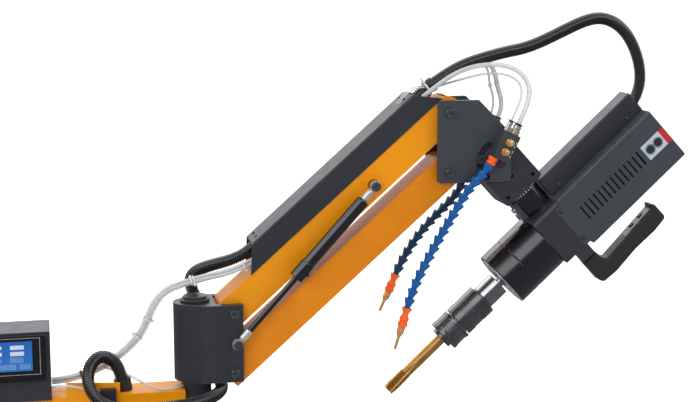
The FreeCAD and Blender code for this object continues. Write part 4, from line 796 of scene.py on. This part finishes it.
# Jointed coolant hoses: ball-and-socket links from a connector to a nozzle with a metal tip
connector_length = 15.0
link_profile = ((0, 0.5), (6.4, 0.5), (8.0, 0), (9.2, 0.6), (9.2, 1.8), (8.4, 4.2), (6.4, 9.0), (5.1, 12.6),
                (4.8, 17.6), (0, 17.8))
connector_profile = ((0, 0.3), (8.4, 0.3), (8.4, 5), (7, 6), (7, 8), (8.2, 9), (8.2, 12.6), (5, 14.6),
                     (0, 14.6))
nozzle_profile = ((0, 0.4), (7.4, 0.4), (8.8, 0.0), (9.0, 1.2), (7.6, 4.5), (5.4, 9), (5.2, 11), (5.9, 14),
                  (7.8, 17.5), (8.2, 19.5), (7.9, 22), (6.6, 23.2), (6.6, 24.6), (8.0, 25.2), (8.1, 31.4),
                  (7.2, 32.6), (0, 32.8))
tip_profile = ((0, 0), (5.6, 0), (6.2, 0.6), (6.2, 11.0), (5.6, 12.5), (4.0, 15.5), (2.7, 18))
nozzle_length = 33.0
tip_radius = 2.5
tip_overrun = 5.0
tip_bore_radius = 1.7
tip_bore_depth = 3
# The rear hose takes the darker copy of the blue plastic, as painted shade.
hose_routes = {
    "front_coolant_hose": (17, 16.2, "blue_plastic", (
        (0.8035, -0.056, 0.6485), (0.7965, -0.056, 0.634), (0.783, -0.057, 0.619), (0.765, -0.058, 0.603),
        (0.749, -0.059, 0.581), (0.734, -0.059, 0.555), (0.716, -0.059, 0.526), (0.699, -0.059, 0.496),
        (0.683, -0.059, 0.467), (0.669, -0.059, 0.438), (0.658, -0.059, 0.407), (0.650, -0.059, 0.377),
        (0.637, -0.059, 0.336))),
    "rear_coolant_hose": (15, 16.4, "deep_blue", (
        (0.8035, 0.056, 0.6485), (0.797, 0.057, 0.635), (0.7915, 0.058, 0.6185), (0.787, 0.059, 0.5975),
        (0.779, 0.059, 0.577), (0.763, 0.059, 0.558), (0.743, 0.059, 0.540), (0.720, 0.059, 0.517),
        (0.698, 0.059, 0.490), (0.681, 0.059, 0.464), (0.667, 0.059, 0.437), (0.656, 0.059, 0.409),
        (0.639, 0.059, 0.373))),
}
hose_ends = bmesh.new()
hose_tips = bmesh.new()
for name, (link_count, link_pitch, material, points) in hose_routes.items():
    line = Line(name, points)
    links = bmesh.new()
    for index in range(link_count):
        start = connector_length + index * link_pitch
        lathe(links, rounded(link_profile, 0.5, 2), line.chord(start, start + link_pitch), 28)
    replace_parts(piece(name + "_links", links, material, "head_bracket"), name)
    nozzle = connector_length + link_count * link_pitch
    tip = nozzle + nozzle_length
    lathe(hose_ends, rounded(connector_profile, 0.5, 2), line.chord(0, connector_length), 28)
    lathe(hose_ends, rounded(nozzle_profile, 0.8, 2), line.chord(nozzle, tip), 28)
    reach = line.length - tip + tip_overrun
    bore_end = reach - tip_bore_depth
    profile = list(tip_profile) + [(tip_radius, reach), (tip_bore_radius, reach), (tip_bore_radius, bore_end),
                                   (0, bore_end)]
    lathe(hose_tips, profile, line.chord(tip, line.length), 24)
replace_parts(piece("hose_end_pieces", hose_ends, "orange_plastic", "head_bracket", 40.0), "hose_ends")
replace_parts(piece("nozzle_tip_pieces", hose_tips, "brass", "head_bracket"), "nozzle_tips")

# Valve blocks: fittings and knobs, in the front block's frame and mirrored to the rear one
knob_high = Vector(joints["knob_turn_1"]["pos_m"])
knob_low = Vector(joints["knob_turn_2"]["pos_m"])
valve_up = (knob_high - knob_low).normalized()
valve_across = side.cross(valve_up)
valve_middle = 56.3
knob_rise = 8.0
knob_across = -1.0
valve_half = 24.0
valve_face = 70.3
fitting_sizes = ((-8.4, 4.7), (5.6, 7.2))
fittings = bmesh.new()
collars = bmesh.new()
for sign in (-1, 1):
    centre = knob_high - valve_up * knob_rise * mm - valve_across * knob_across * mm
    centre.y = sign * valve_middle * mm
    valve = frame_matrix(centre, valve_across, valve_up)
    for across, radius in fitting_sizes:
        place = shifted(valve, across, 0, valve_half)
        prism(fittings, regular(radius * 2), place, 0.2, 8.0)
        body = ((0, 8.0), (radius * 0.78, 8.0), (radius * 0.78, 9.0), (radius * 0.93, 9.7),
                (radius * 0.93, 15.4), (radius * 0.7, 16.2), (0, 16.2))
        lathe(fittings, body, place, 36)
        collar = ((0, 16.2), (radius * 0.72, 16.2), (radius * 0.72, 17.0), (radius + 1.0, 17.4),
                  (radius + 1.2, 18.4), (radius + 0.6, 19), (0, 19))
        lathe(collars, collar, place, 36)
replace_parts(piece("tube_fitting_bodies", fittings, "nickel", "head_bracket"), "tube_fittings")
piece("tube_fitting_collars", collars, "black_plastic", "head_bracket")

knob_profile = ((0, -5.2), (3.2, -5.2), (3.2, -0.8), (5.0, -0.8), (5.0, 0.4), (4.3, 0.8), (4.3, 1.6),
                (5.0, 2.0), (5.2, 8.4), (4.4, 10.2), (2.4, 10.9), (0, 11.0))
for number in range(1, 5):
    joint = joints["knob_turn_" + str(number)]
    place = frame_at(Vector(joint["pos_m"]), Vector(joint["axis"]), valve_up)
    knob = bmesh.new()
    lathe(knob, knob_profile, place, 36)
    prism(knob, regular(12.0), place, -5.2, -0.8)
    name = "valve_knob_" + str(number)
    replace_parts(piece(name + "_turned", knob, "brass", name), name)
marks = bmesh.new()
valve = frame_matrix(Vector((centre.x, 0, centre.z)), valve_across, valve_up)
for height, length in ((12, 3.4), (5, 2.6), (-4, 2.6), (-13, 3.4)):
    plate(marks, valve, (11.0, 12.0), (height - length / 2, height + length / 2), valve_face, 0.15)
piece("valve_marks", marks, "white_print", "head_bracket")

# Pins, bolts and the gas spring
pin_radius = 6.0
pin_head = 8.0
pin_head_height = 4.5
nut_across = 16.0
socket_across = 6.0
stud_radius = 4.0
stud_head = 8.0
stud_head_height = 3.0
block_half = 45.0
bracket_half = 42.3


def pin(bm, pivot, half):
    """Pin through two cheeks with its socket head in front and a nut behind."""
    front = frame_at(pivot - side * half * mm, -side, up)
    socket_cap(bm, front, pin_head, pin_head_height, socket_across, 2.5)
    lathe(bm, [(0, 0), (pin_radius, 0), (pin_radius, -2 * half), (0, -2 * half)], front, 32)
    rear = frame_at(pivot + side * half * mm, side, up)
    prism(bm, regular(nut_across), rear, 0, pin_head_height)


def stud(bm, centre, outer, inner):
    """Bolt through an eye, with a round socket head."""
    front = frame_at(Vector((centre.x, -outer * mm, centre.z)), -side, up)
    socket_cap(bm, front, stud_head, stud_head_height, 5.0, 1.6)
    lathe(bm, [(0, 0), (stud_radius, 0), (stud_radius, inner - outer), (0, inner - outer)], front, 32)


spring_plane = 52.0
eye_half = 4.5
pins = bmesh.new()
for pivot in (upper_pivot, lower_pivot):
    pin(pins, pivot, block_half)
stud(pins, spring_eye, spring_plane + eye_half + 0.3, 32.0)
washer = frame_at(Vector((spring_eye.x, -block_half * mm, spring_eye.z)), -side, up)
lathe(pins, [(4, 0), (6.5, 0), (6.5, 2.2), (4, 2.2)], washer, 32, True)
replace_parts(piece("elbow_pin_set", pins, "satin_black", "elbow"), "elbow_pins")
pins = bmesh.new()
for pivot in (head_pivot, head_pivot - (upper_pivot - lower_pivot)):
    pin(pins, pivot, bracket_half)
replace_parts(piece("head_pin_set", pins, "satin_black", "head_bracket"), "head_pins")

spring_span = 342.2
eye_radius = 9.0
socket_reach = 29.7


def rod_end(bm, place):
    """Eye on a socket, with local Z from the eye along the spring."""
    across = frame_at(place.translation, -side, place.col[2].to_3d())
    eye = [(4.1, -eye_half), (eye_radius, -eye_half), (eye_radius, eye_half), (4.1, eye_half)]
    lathe(bm, rounded(eye, 0.8, 2), across, 48, True)
    socket = [(0, 8.2), (4.6, 8.2), (6.3, 12), (6.5, 13), (6.5, 28.7), (5.6, socket_reach), (0, socket_reach)]
    lathe(bm, socket, place, 36)


eye = bmesh.new()
rod_end(eye, spring)
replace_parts(piece("spring_lower_eye", eye, "silver", "gas_rod"), "spring_rod")
rod = bmesh.new()
lathe(rod, [(0, socket_reach), (5, socket_reach), (5, 200), (0, 200)], spring, 36)
piece("spring_rod_bar", rod, "dark_rod", "gas_rod")
eye = bmesh.new()
upper_end = shifted(spring, 0, 0, spring_span)
rod_end(eye, frame_at(upper_end.translation, -spring_along, side))
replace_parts(piece("spring_upper_eye", eye, "silver", "gas_cylinder"), "spring_cylinder")
tube = bmesh.new()
lathe(tube, [(5.1, 144), (10.4, 143.4), (11.9, 144.2), (12.2, 145), (12.2, 174), (11.7, 175), (11, 175.2),
             (11, 309), (10.2, 311.6), (8.4, 312.5), (0, 312.5)], spring, 56)
piece("spring_tube", tube, "gloss_black", "gas_cylinder", 40.0)
bolt = bmesh.new()
stud(bolt, upper_end.translation, spring_plane + eye_half, 31.8)
piece("spring_upper_bolt", bolt, "satin_black", "gas_cylinder")
# Dark strip along the collar's split and a dark patch beside it: painted shade.
split_shade = bmesh.new()
facing_front = spring @ Matrix.Rotation(math.radians(-60), 4, "Z")
block(split_shade, shifted(facing_front, 12.1, 0, 160), (0.5, 1.2, 29))
block(split_shade, shifted(facing_front, 12.1, 3.8, 160), (0.9, 4.4, 4.4), 1.8)
piece("spring_collar_split_shade", split_shade, "dark_hole", "gas_cylinder")

# Elbow hub and cap
hub = bmesh.new()
elbow_foot = frame_at(Vector((elbow_axis.x, 0, 0)), up, Vector((1, 0, 0)))
lathe(hub, [(12.5, 183), (25, 183), (25, 284.9), (24.2, 285.7), (12.5, 285.7)], elbow_foot, 72, True)
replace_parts(piece("elbow_hub_turned", hub, "black_paint", "first_arm"), "elbow_hub")
screw = bmesh.new()
screw_turn = Vector((-0.848, -0.530, 0))
screw_place = frame_at(Vector((elbow_axis.x, 0, 0.262)) + screw_turn * 24.9 * mm, screw_turn, up)
socket_cap(screw, screw_place, 4.0, 0.9, 4.0, 0.6)
piece("elbow_set_screw", screw, "steel", "first_arm")
cap = bmesh.new()
lathe(cap, [(4, 416.3), (23, 416.3), (24.5, 417.6), (24.5, 419.8), (23.3, 421.3), (20.2, 421.3), (20, 421.5),
            (20, 424.6), (18.9, 425.8), (7.5, 425.8), (7.3, 425.5), (7.3, 422.8), (4, 422.8)], elbow_foot, 72,
      True)
socket_cap(cap, shifted(elbow_foot, 0, 0, 422.8), 7.0, 4.5, socket_across, 2.5)
lathe(cap, [(0, 422.7), (3.9, 422.7), (3.9, 398.3), (0, 398.3)], elbow_foot, 24)
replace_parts(piece("elbow_cap_turned", cap, "black_paint", "first_arm"), "elbow_cap")

# Gearbox, spindle nose, chuck and tap, turned about the spindle
gear_bottom = -129.0
housing = bmesh.new()
housing_profile = [(9.1, gear_bottom), (50.4, gear_bottom), (52, -127.4), (52, -90.4), (50.9, -89.8),
                   (50.9, -88.6), (52, -88), (52, -31.6), (51, -31), (9.1, -31)]
lathe(housing, rounded(housing_profile, 0.6, 2), spindle, 96, True)
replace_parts(piece("gearbox_shell", housing, "gloss_black", "head"), "gearbox_housing")
disc = bmesh.new()
bottom = frame_at(shifted(spindle, 0, 0, gear_bottom).translation, -spindle_along, side)
lathe(disc, [(19.5, 0), (46.5, 0), (46.5, 0.6), (45.8, 1.0), (20.2, 1.0), (19.5, 0.6)], bottom, 96, True)
for index in range(6):
    spot = bottom @ Matrix.Rotation(math.radians(30 + 60 * index), 4, "Z")
    socket_cap(disc, shifted(spot, 36, 0, 1.0), 3.6, 1.4, 3.0, 1.0, 36)
piece("gearbox_end_ring", disc, "silver", "head")
nose = bmesh.new()
lathe(nose, rounded([(0, -105.3), (9, -105.3), (9, -137), (20, -137), (21, -138), (21, -172.6), (20.6, -173),
                     (0, -173)], 0.3, 2), spindle, 72)
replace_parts(piece("spindle_nose_turned", nose, "chrome", "spindle"), "spindle_nose")
sleeve_profile = [(21.05, -175), (26.8, -175), (28, -176.2), (28, -198)]
for groove in (-199, -204, -209, -214):
    sleeve_profile += [(28, groove), (26.6, groove - 0.5), (26.6, groove - 1.9), (28, groove - 2.4)]
sleeve_profile += [(28, -232), (27.2, -233), (21.05, -233)]
sleeve = bmesh.new()
lathe(sleeve, sleeve_profile, spindle, 80, True)
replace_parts(piece("chuck_sleeve_turned", sleeve, "satin_black", "chuck_sleeve"), "chuck_sleeve")
chuck_profile = [(9.1, -246), (9.1, -275), (18.4, -275), (19, -274.4), (19, -269.6), (19.4, -269),
                 (27.8, -269), (28.75, -268), (28.75, -262.6), (28.2, -262.2), (28.2, -261)]
for step in range(6):
    groove = -258.0 + 3.0 * step
    chuck_profile += [(28.5, groove - 1.0), (27.3, groove - 0.6), (27.3, groove + 0.6), (28.5, groove + 1.0)]
chuck_profile += [(28.75, -240.8), (28.75, -236), (27.8, -235), (21, -235), (21, -173.1), (9.1, -173.1)]
chuck = bmesh.new()
lathe(chuck, chuck_profile, spindle, 80, True)
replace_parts(piece("chuck_body_turned", chuck, "satin_black", "spindle"), "chuck_body")
# Dark blocks at the chuck's notches: painted shade in the notches.
notch_shades = bmesh.new()
for turn in (-30, -150, 90):
    spot = spindle @ Matrix.Rotation(math.radians(turn), 4, "Z")
    block(notch_shades, shifted(spot, 27.9, 0, -237.4), (2.2, 6.5, 4.4), 0.6)
piece("chuck_notch_shades", notch_shades, "dark_hole", "spindle")

thread_radius = 11.0
thread_pitch = 3.0
thread_depth = 2.1
thread_top = -359.0
tap_end = -401.0
lead_length = 9.0
lead_taper = 1.4
shank_radius = 9.0
flute_radius = 4.0
flute_count = 4
flute_runout = 30.0
flute_lift = 2.4
flute_lean = math.radians(0.35)


def tap_radius(height, turn):
    """Radius of the tap at a height and angle: shank, helical thread and flutes."""
    radius = shank_radius
    if height < thread_top:
        phase = (height / thread_pitch - turn / (2 * math.pi)) % 1.0
        lead = max(0.0, 1 - (height - tap_end) / lead_length) * lead_taper
        radius = thread_radius - lead - thread_depth * abs(2 * phase - 1)
    lift = max(0.0, (height - thread_top) / flute_runout) * flute_lift
    middle = thread_radius + lift
    wedge = 2 * math.pi / flute_count
    lean = flute_lean * (height - tap_end)
    apart = (turn + lean + wedge / 2) % wedge - wedge / 2
    reach = middle * math.sin(apart)
    if abs(reach) < flute_radius:
        radius = min(radius, middle * math.cos(apart) - math.sqrt(flute_radius ** 2 - reach ** 2))
    return radius


def make_tap():
    bm = bmesh.new()
    segments = 144
    thread_step = 0.25
    shank_step = 1.5
    thread_rows = round((thread_top - tap_end) / thread_step) + 1
    heights = [tap_end + thread_step * step for step in range(thread_rows)]
    heights += [thread_top + 0.1] + [thread_top + shank_step * step for step in range(1, 22)]
    rows = [ring(bm, spindle, 0, tap_end)]
    for height in heights:
        rows.append(row_about(bm, spindle, lambda turn: tap_radius(height, turn), height, segments))
    rows += [ring(bm, spindle, shank_radius, -246, segments), ring(bm, spindle, 0, -246)]
    stitch(bm, rows)
    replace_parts(piece("tap_ground", bm, "gold_steel", "spindle", 24.0), "tap")


make_tap()

# Swivel hub with its clamp lug, and the graduated ring
hub_frame = frame_at(head.translation, swivel_along, side)
hub = bmesh.new()
lathe(hub, [(0, 17.3), (17, 17.3), (17, 76), (28, 76), (28.5, 76.5), (28.5, 117), (0, 117)], hub_frame, 72)
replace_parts(piece("swivel_hub_turned", hub, "gloss_black", "head"), "swivel_hub")
lug = bmesh.new()
prism(lug, rectangle((80, 117), (-31, -2), 2.0), head @ facing, -17, 17)
bevelled(piece("swivel_lug", lug, "black_anodised", "head"), 0.8)
lug_screw = bmesh.new()
screw_place = frame_at(shifted(head, 92, -8, -31).translation, -spindle_along, side)
socket_cap(lug_screw, screw_place, 4.5, 6.0, 4.0, 2.5)
lathe(lug_screw, [(4.6, 0), (6.6, 0), (6.6, 1.2), (4.6, 1.2)], screw_place, 32, True)
piece("swivel_clamp_screw", lug_screw, "steel", "head")
ticks = bmesh.new()
for index in range(36):
    spot = head @ Matrix.Rotation(math.radians(10 * index), 4, "X")
    length = 4.2 if index % 3 == 0 else 2.8
    block(ticks, shifted(spot, 75.8 - length / 2, 0, 32.0), (length, 0.9, 0.3))
piece("ring_marks", ticks, "white_print", "head")
index_mark = bmesh.new()
plate(index_mark, head, (65.6, 67.8), (0.7, 2.3), 34.0, 0.2)
piece("ring_index", index_mark, "red_plastic", "tilt")

# Screws and labels on the head
screws = bmesh.new()
for across, height, front in ((137, 19, 50.0), (199, 19, 50.0), (110, 51, 20.0), (110, 215, 20.0)):
    spot = shifted(head, across, -front, height)
    dome_screw(screws, frame_at(spot.translation, -side, spindle_along), 3.5, 2.2)
piece("head_cover_screws", screws, "dark_steel", "head")
cover_front = 50.0
label = bmesh.new()
plate(label, head, (154, 183.5), (192.5, 233.8), cover_front, 0.25, 0.8)
piece("label_plate", label, "label_blue", "head")
label = bmesh.new()
plate(label, head, (154, 183.5), (233.8, 243.2), cover_front, 0.25, 0.8)
piece("label_strip", label, "red_plastic", "head")
discs = bmesh.new()
for height in (204.5, 222.0):
    spot = frame_at(shifted(head, 168.7, -cover_front, height).translation, -side, spindle_along)
    lathe(discs, [(0, 0.2), (7.6, 0.2), (7.6, 0.42), (0, 0.42)], spot, 40)
    lathe(discs, [(8.4, 0.2), (9.2, 0.2), (9.2, 0.42), (8.4, 0.42)], spot, 40, True)
piece("label_discs", discs, "black_plastic", "head")

# Handle: rings round the buttons and plain marks on the button plate
plate_low = Vector((272.2, 0, 31.5))
plate_high = Vector((263.2, 0, 146.0))
rings = bmesh.new()
plate_along = (plate_high - plate_low).normalized()
plate_out = plate_along.cross(side)
for height in (102.9, 125.3):
    share = (height - plate_low.z) / (plate_high.z - plate_low.z)
    spot = head @ (plate_low.lerp(plate_high, share) * mm)
    place = frame_at(spot, head.to_3x3() @ plate_out, side)
    lathe(rings, [(5.8, 0), (8.6, 0), (8.6, 0.7), (8.0, 1.3), (6.4, 1.3), (5.8, 0.8)], place, 40, True)
    for across in (-7.5, 7.5):
        block(rings, shifted(place, across, 8.6, 0.35), (3.0, 3.0, 0.8), 0.5)
piece("button_rings", rings, "white_print", "head")

# Control box display: black glass with a lit picture, a thin outline and plain fields
glass_front = 44.0
glass = bmesh.new()
plate(glass, world, (-57, 67), (307.5, 381.5), glass_front, 0.4, 4.0)
piece("display_glass", glass, "black_glass", "first_arm")
picture = bmesh.new()
plate(picture, world, (-35, 45.6), (325.5, 373.8), glass_front + 0.4, 0.1)
piece("display_picture", picture, "screen_glass", "first_arm")
outline = bmesh.new()
left, right = -48, 58.2
low, high = 318.7, 379.2
line_width = 0.9
for x, z in (((left, right), (high - line_width, high)), ((left, right), (low, low + line_width)),
             ((left, left + line_width), (low + line_width, high - line_width)),
             ((right - line_width, right), (low + line_width, high - line_width))):
    plate(outline, world, x, z, glass_front + 0.4, 0.15)
piece("display_outline", outline, "silver", "first_arm")
fields = bmesh.new()
for x, z in (((11.5, 33), (361, 367.6)), ((11.5, 33), (350.9, 357.5)), ((-31, -1.5), (362.2, 367)),
             ((-31, -1.5), (351.4, 357.1))):
    plate(fields, world, x, z, glass_front + 0.5, 0.1, 0.5)
piece("display_fields", fields, "screen_field", "first_arm")
fields = bmesh.new()
for x, z in (((10.9, 31.7), (339.3, 348.7)), ((25.3, 42.4), (328.4, 337)), ((-31, -1.5), (340.6, 346.8)),
             ((-31, -14), (328.4, 337)), ((-10, 20), (328.4, 337))):
    plate(fields, world, x, z, glass_front + 0.5, 0.1, 0.5)
piece("display_dim_fields", fields, "screen_dim", "first_arm")

# Fitting of the tab tube on the manifold
nut = bmesh.new()
nut_place = tab_tube.place(tab_tube.length - 9)
prism(nut, regular(7.4), nut_place, 3.0, 8.0)
lathe(nut, [(0, 0), (3.2, 0), (3.4, 0.5), (3.4, 3.0), (0, 3.0)], nut_place, 28)
lathe(nut, [(0, 8.0), (2.6, 8.0), (2.6, 11.5), (0, 11.5)], nut_place, 28)
piece("manifold_fitting", nut, "nickel", "first_arm")


# Camera, floor, world and lamps
def make_camera():
    data = bpy.data.cameras.new("camera")
    data.sensor_width = sensor_width
    data.lens = focal_pixels / picture_width * sensor_width
    data.clip_end = 300
    data.dof.use_dof = False
    camera = linked("camera", data)
    back = Vector((math.sin(camera_azimuth) * math.cos(camera_elevation),
                   -math.cos(camera_azimuth) * math.cos(camera_elevation), math.sin(camera_elevation)))
    right = Vector((math.cos(camera_azimuth), math.sin(camera_azimuth), 0))
    matrix = Matrix((right, back.cross(right), back)).transposed().to_4x4()
    matrix.translation = camera_place
    camera.matrix_world = matrix
    bpy.context.scene.camera = camera


def ray_kind(tree, *kinds):
    """1 for rays of the given kinds, else 0."""
    path = tree.nodes.new("ShaderNodeLightPath")
    total = path.outputs[kinds[0]]
    for kind in kinds[1:]:
        total = maths(tree, "MAXIMUM", total, path.outputs[kind])
    return total


def mixed(tree, factor, one, two):
    node = tree.nodes.new("ShaderNodeMixShader")
    for index, value in enumerate((factor, one, two)):
        tree.links.new(value, node.inputs[index])
    return node.outputs[0]


def ramped(tree, value, stops):
    """Colour ramp over a value, from (position, colour) pairs."""
    ramp = tree.nodes.new("ShaderNodeValToRGB")
    tree.links.new(value, ramp.inputs[0])
    while len(ramp.color_ramp.elements) < len(stops):
        ramp.color_ramp.elements.new(0.5)
    for element, (position, colour) in zip(ramp.color_ramp.elements, stops):
        element.position = position
        element.color = (*colour, 1)
    return ramp.outputs[0]


def background(tree, colour, strength):
    node = tree.nodes.new("ShaderNodeBackground")
    put(tree, node, "Strength", strength)
    put(tree, node, "Color", (*colour, 1) if isinstance(colour, tuple) else colour)
    return node.outputs[0]


def make_world():
    """Plain white to the camera, soft light to matt surfaces, and a studio with one softbox to shiny ones."""
    world = bpy.data.worlds.new("studio")
    bpy.context.scene.world = world
    world.use_nodes = True
    tree = world.node_tree
    tree.nodes.clear()
    out = tree.nodes.new("ShaderNodeOutputWorld")
    split = tree.nodes.new("ShaderNodeSeparateXYZ")
    tree.links.new(tree.nodes.new("ShaderNodeTexCoord").outputs["Generated"], split.inputs[0])
    height = split.outputs["Z"]
    depth = tree.nodes.new("ShaderNodeMapRange")
    tree.links.new(split.outputs["Y"], depth.inputs["Value"])
    depth.inputs["From Min"].default_value = -1.0
    soft = background(tree, ramped(tree, height, ((0.0, (0.36, 0.37, 0.39)), (0.75, (1.0, 1.0, 1.0)))), 0.66)
    dark = (0.17, 0.18, 0.20)
    white = (1.0, 1.0, 1.0)
    backdrop = ramped(tree, depth.outputs["Result"], ((0.44, dark), (0.58, white)))
    softbox = ramped(tree, height, ((0.30, (0, 0, 0)), (0.40, white), (0.64, white), (0.74, (0, 0, 0))))
    shiny = mixed(tree, softbox, background(tree, backdrop, 1.0), background(tree, white, 2.4))
    plain = background(tree, white, 1.0)
    lit = mixed(tree, ray_kind(tree, "Is Glossy Ray"), soft, shiny)
    seen = ray_kind(tree, "Is Camera Ray", "Is Transmission Ray")
    tree.links.new(mixed(tree, seen, lit, plain), out.inputs[0])


def make_floor():
    """White floor that keeps the shadow, and looks dark in shiny surfaces."""
    mesh = bpy.data.meshes.new("floor")
    reach = 90.0
    mesh.from_pydata([(-reach, -reach, 0), (reach, -reach, 0), (reach, reach, 0), (-reach, reach, 0)], [],
                     [(0, 1, 2, 3)])
    floor = linked("floor", mesh)
    floor.location.z = -0.0006
    material = bpy.data.materials.new("floor")
    material.use_nodes = True
    tree = material.node_tree
    surface = tree.nodes["Principled BSDF"]
    surface.inputs["Base Color"].default_value = (0.88, 0.88, 0.88, 1)
    surface.inputs["Roughness"].default_value = 0.7
    surface.inputs["Emission Color"].default_value = (1, 1, 1, 1)
    lift = maths(tree, "MULTIPLY", ray_kind(tree, "Is Camera Ray", "Is Transmission Ray"), 0.62)
    tree.links.new(lift, surface.inputs["Emission Strength"])
    dark = tree.nodes.new("ShaderNodeEmission")
    dark.inputs["Color"].default_value = (0.20, 0.20, 0.21, 1)
    look = mixed(tree, ray_kind(tree, "Is Glossy Ray"), surface.outputs[0], dark.outputs[0])
    tree.links.new(look, tree.nodes["Material Output"].inputs[0])
    mesh.materials.append(material)


def lamp(name, place, aim, width, height, power):
    data = bpy.data.lights.new(name, "AREA")
    data.shape = "RECTANGLE"
    data.size = width
    data.size_y = height
    data.energy = power
    obj = linked(name, data)
    obj.location = place
    obj.rotation_euler = (Vector(aim) - Vector(place)).to_track_quat("-Z", "Y").to_euler()
    obj.visible_glossy = False


make_camera()
make_world()
make_floor()
lamp("top_lamp", (0.5, 0.4, 2.9), (0.5, 0.0, 0.4), 2.6, 1.6, 44)
lamp("front_lamp", (-1.1, -2.7, 1.7), (0.5, 0.0, 0.4), 1.8, 1.2, 36)
lamp("right_lamp", (2.7, -1.6, 1.5), (0.7, 0.0, 0.5), 1.0, 1.6, 14)
bpy.context.scene.view_settings.view_transform = "Standard"
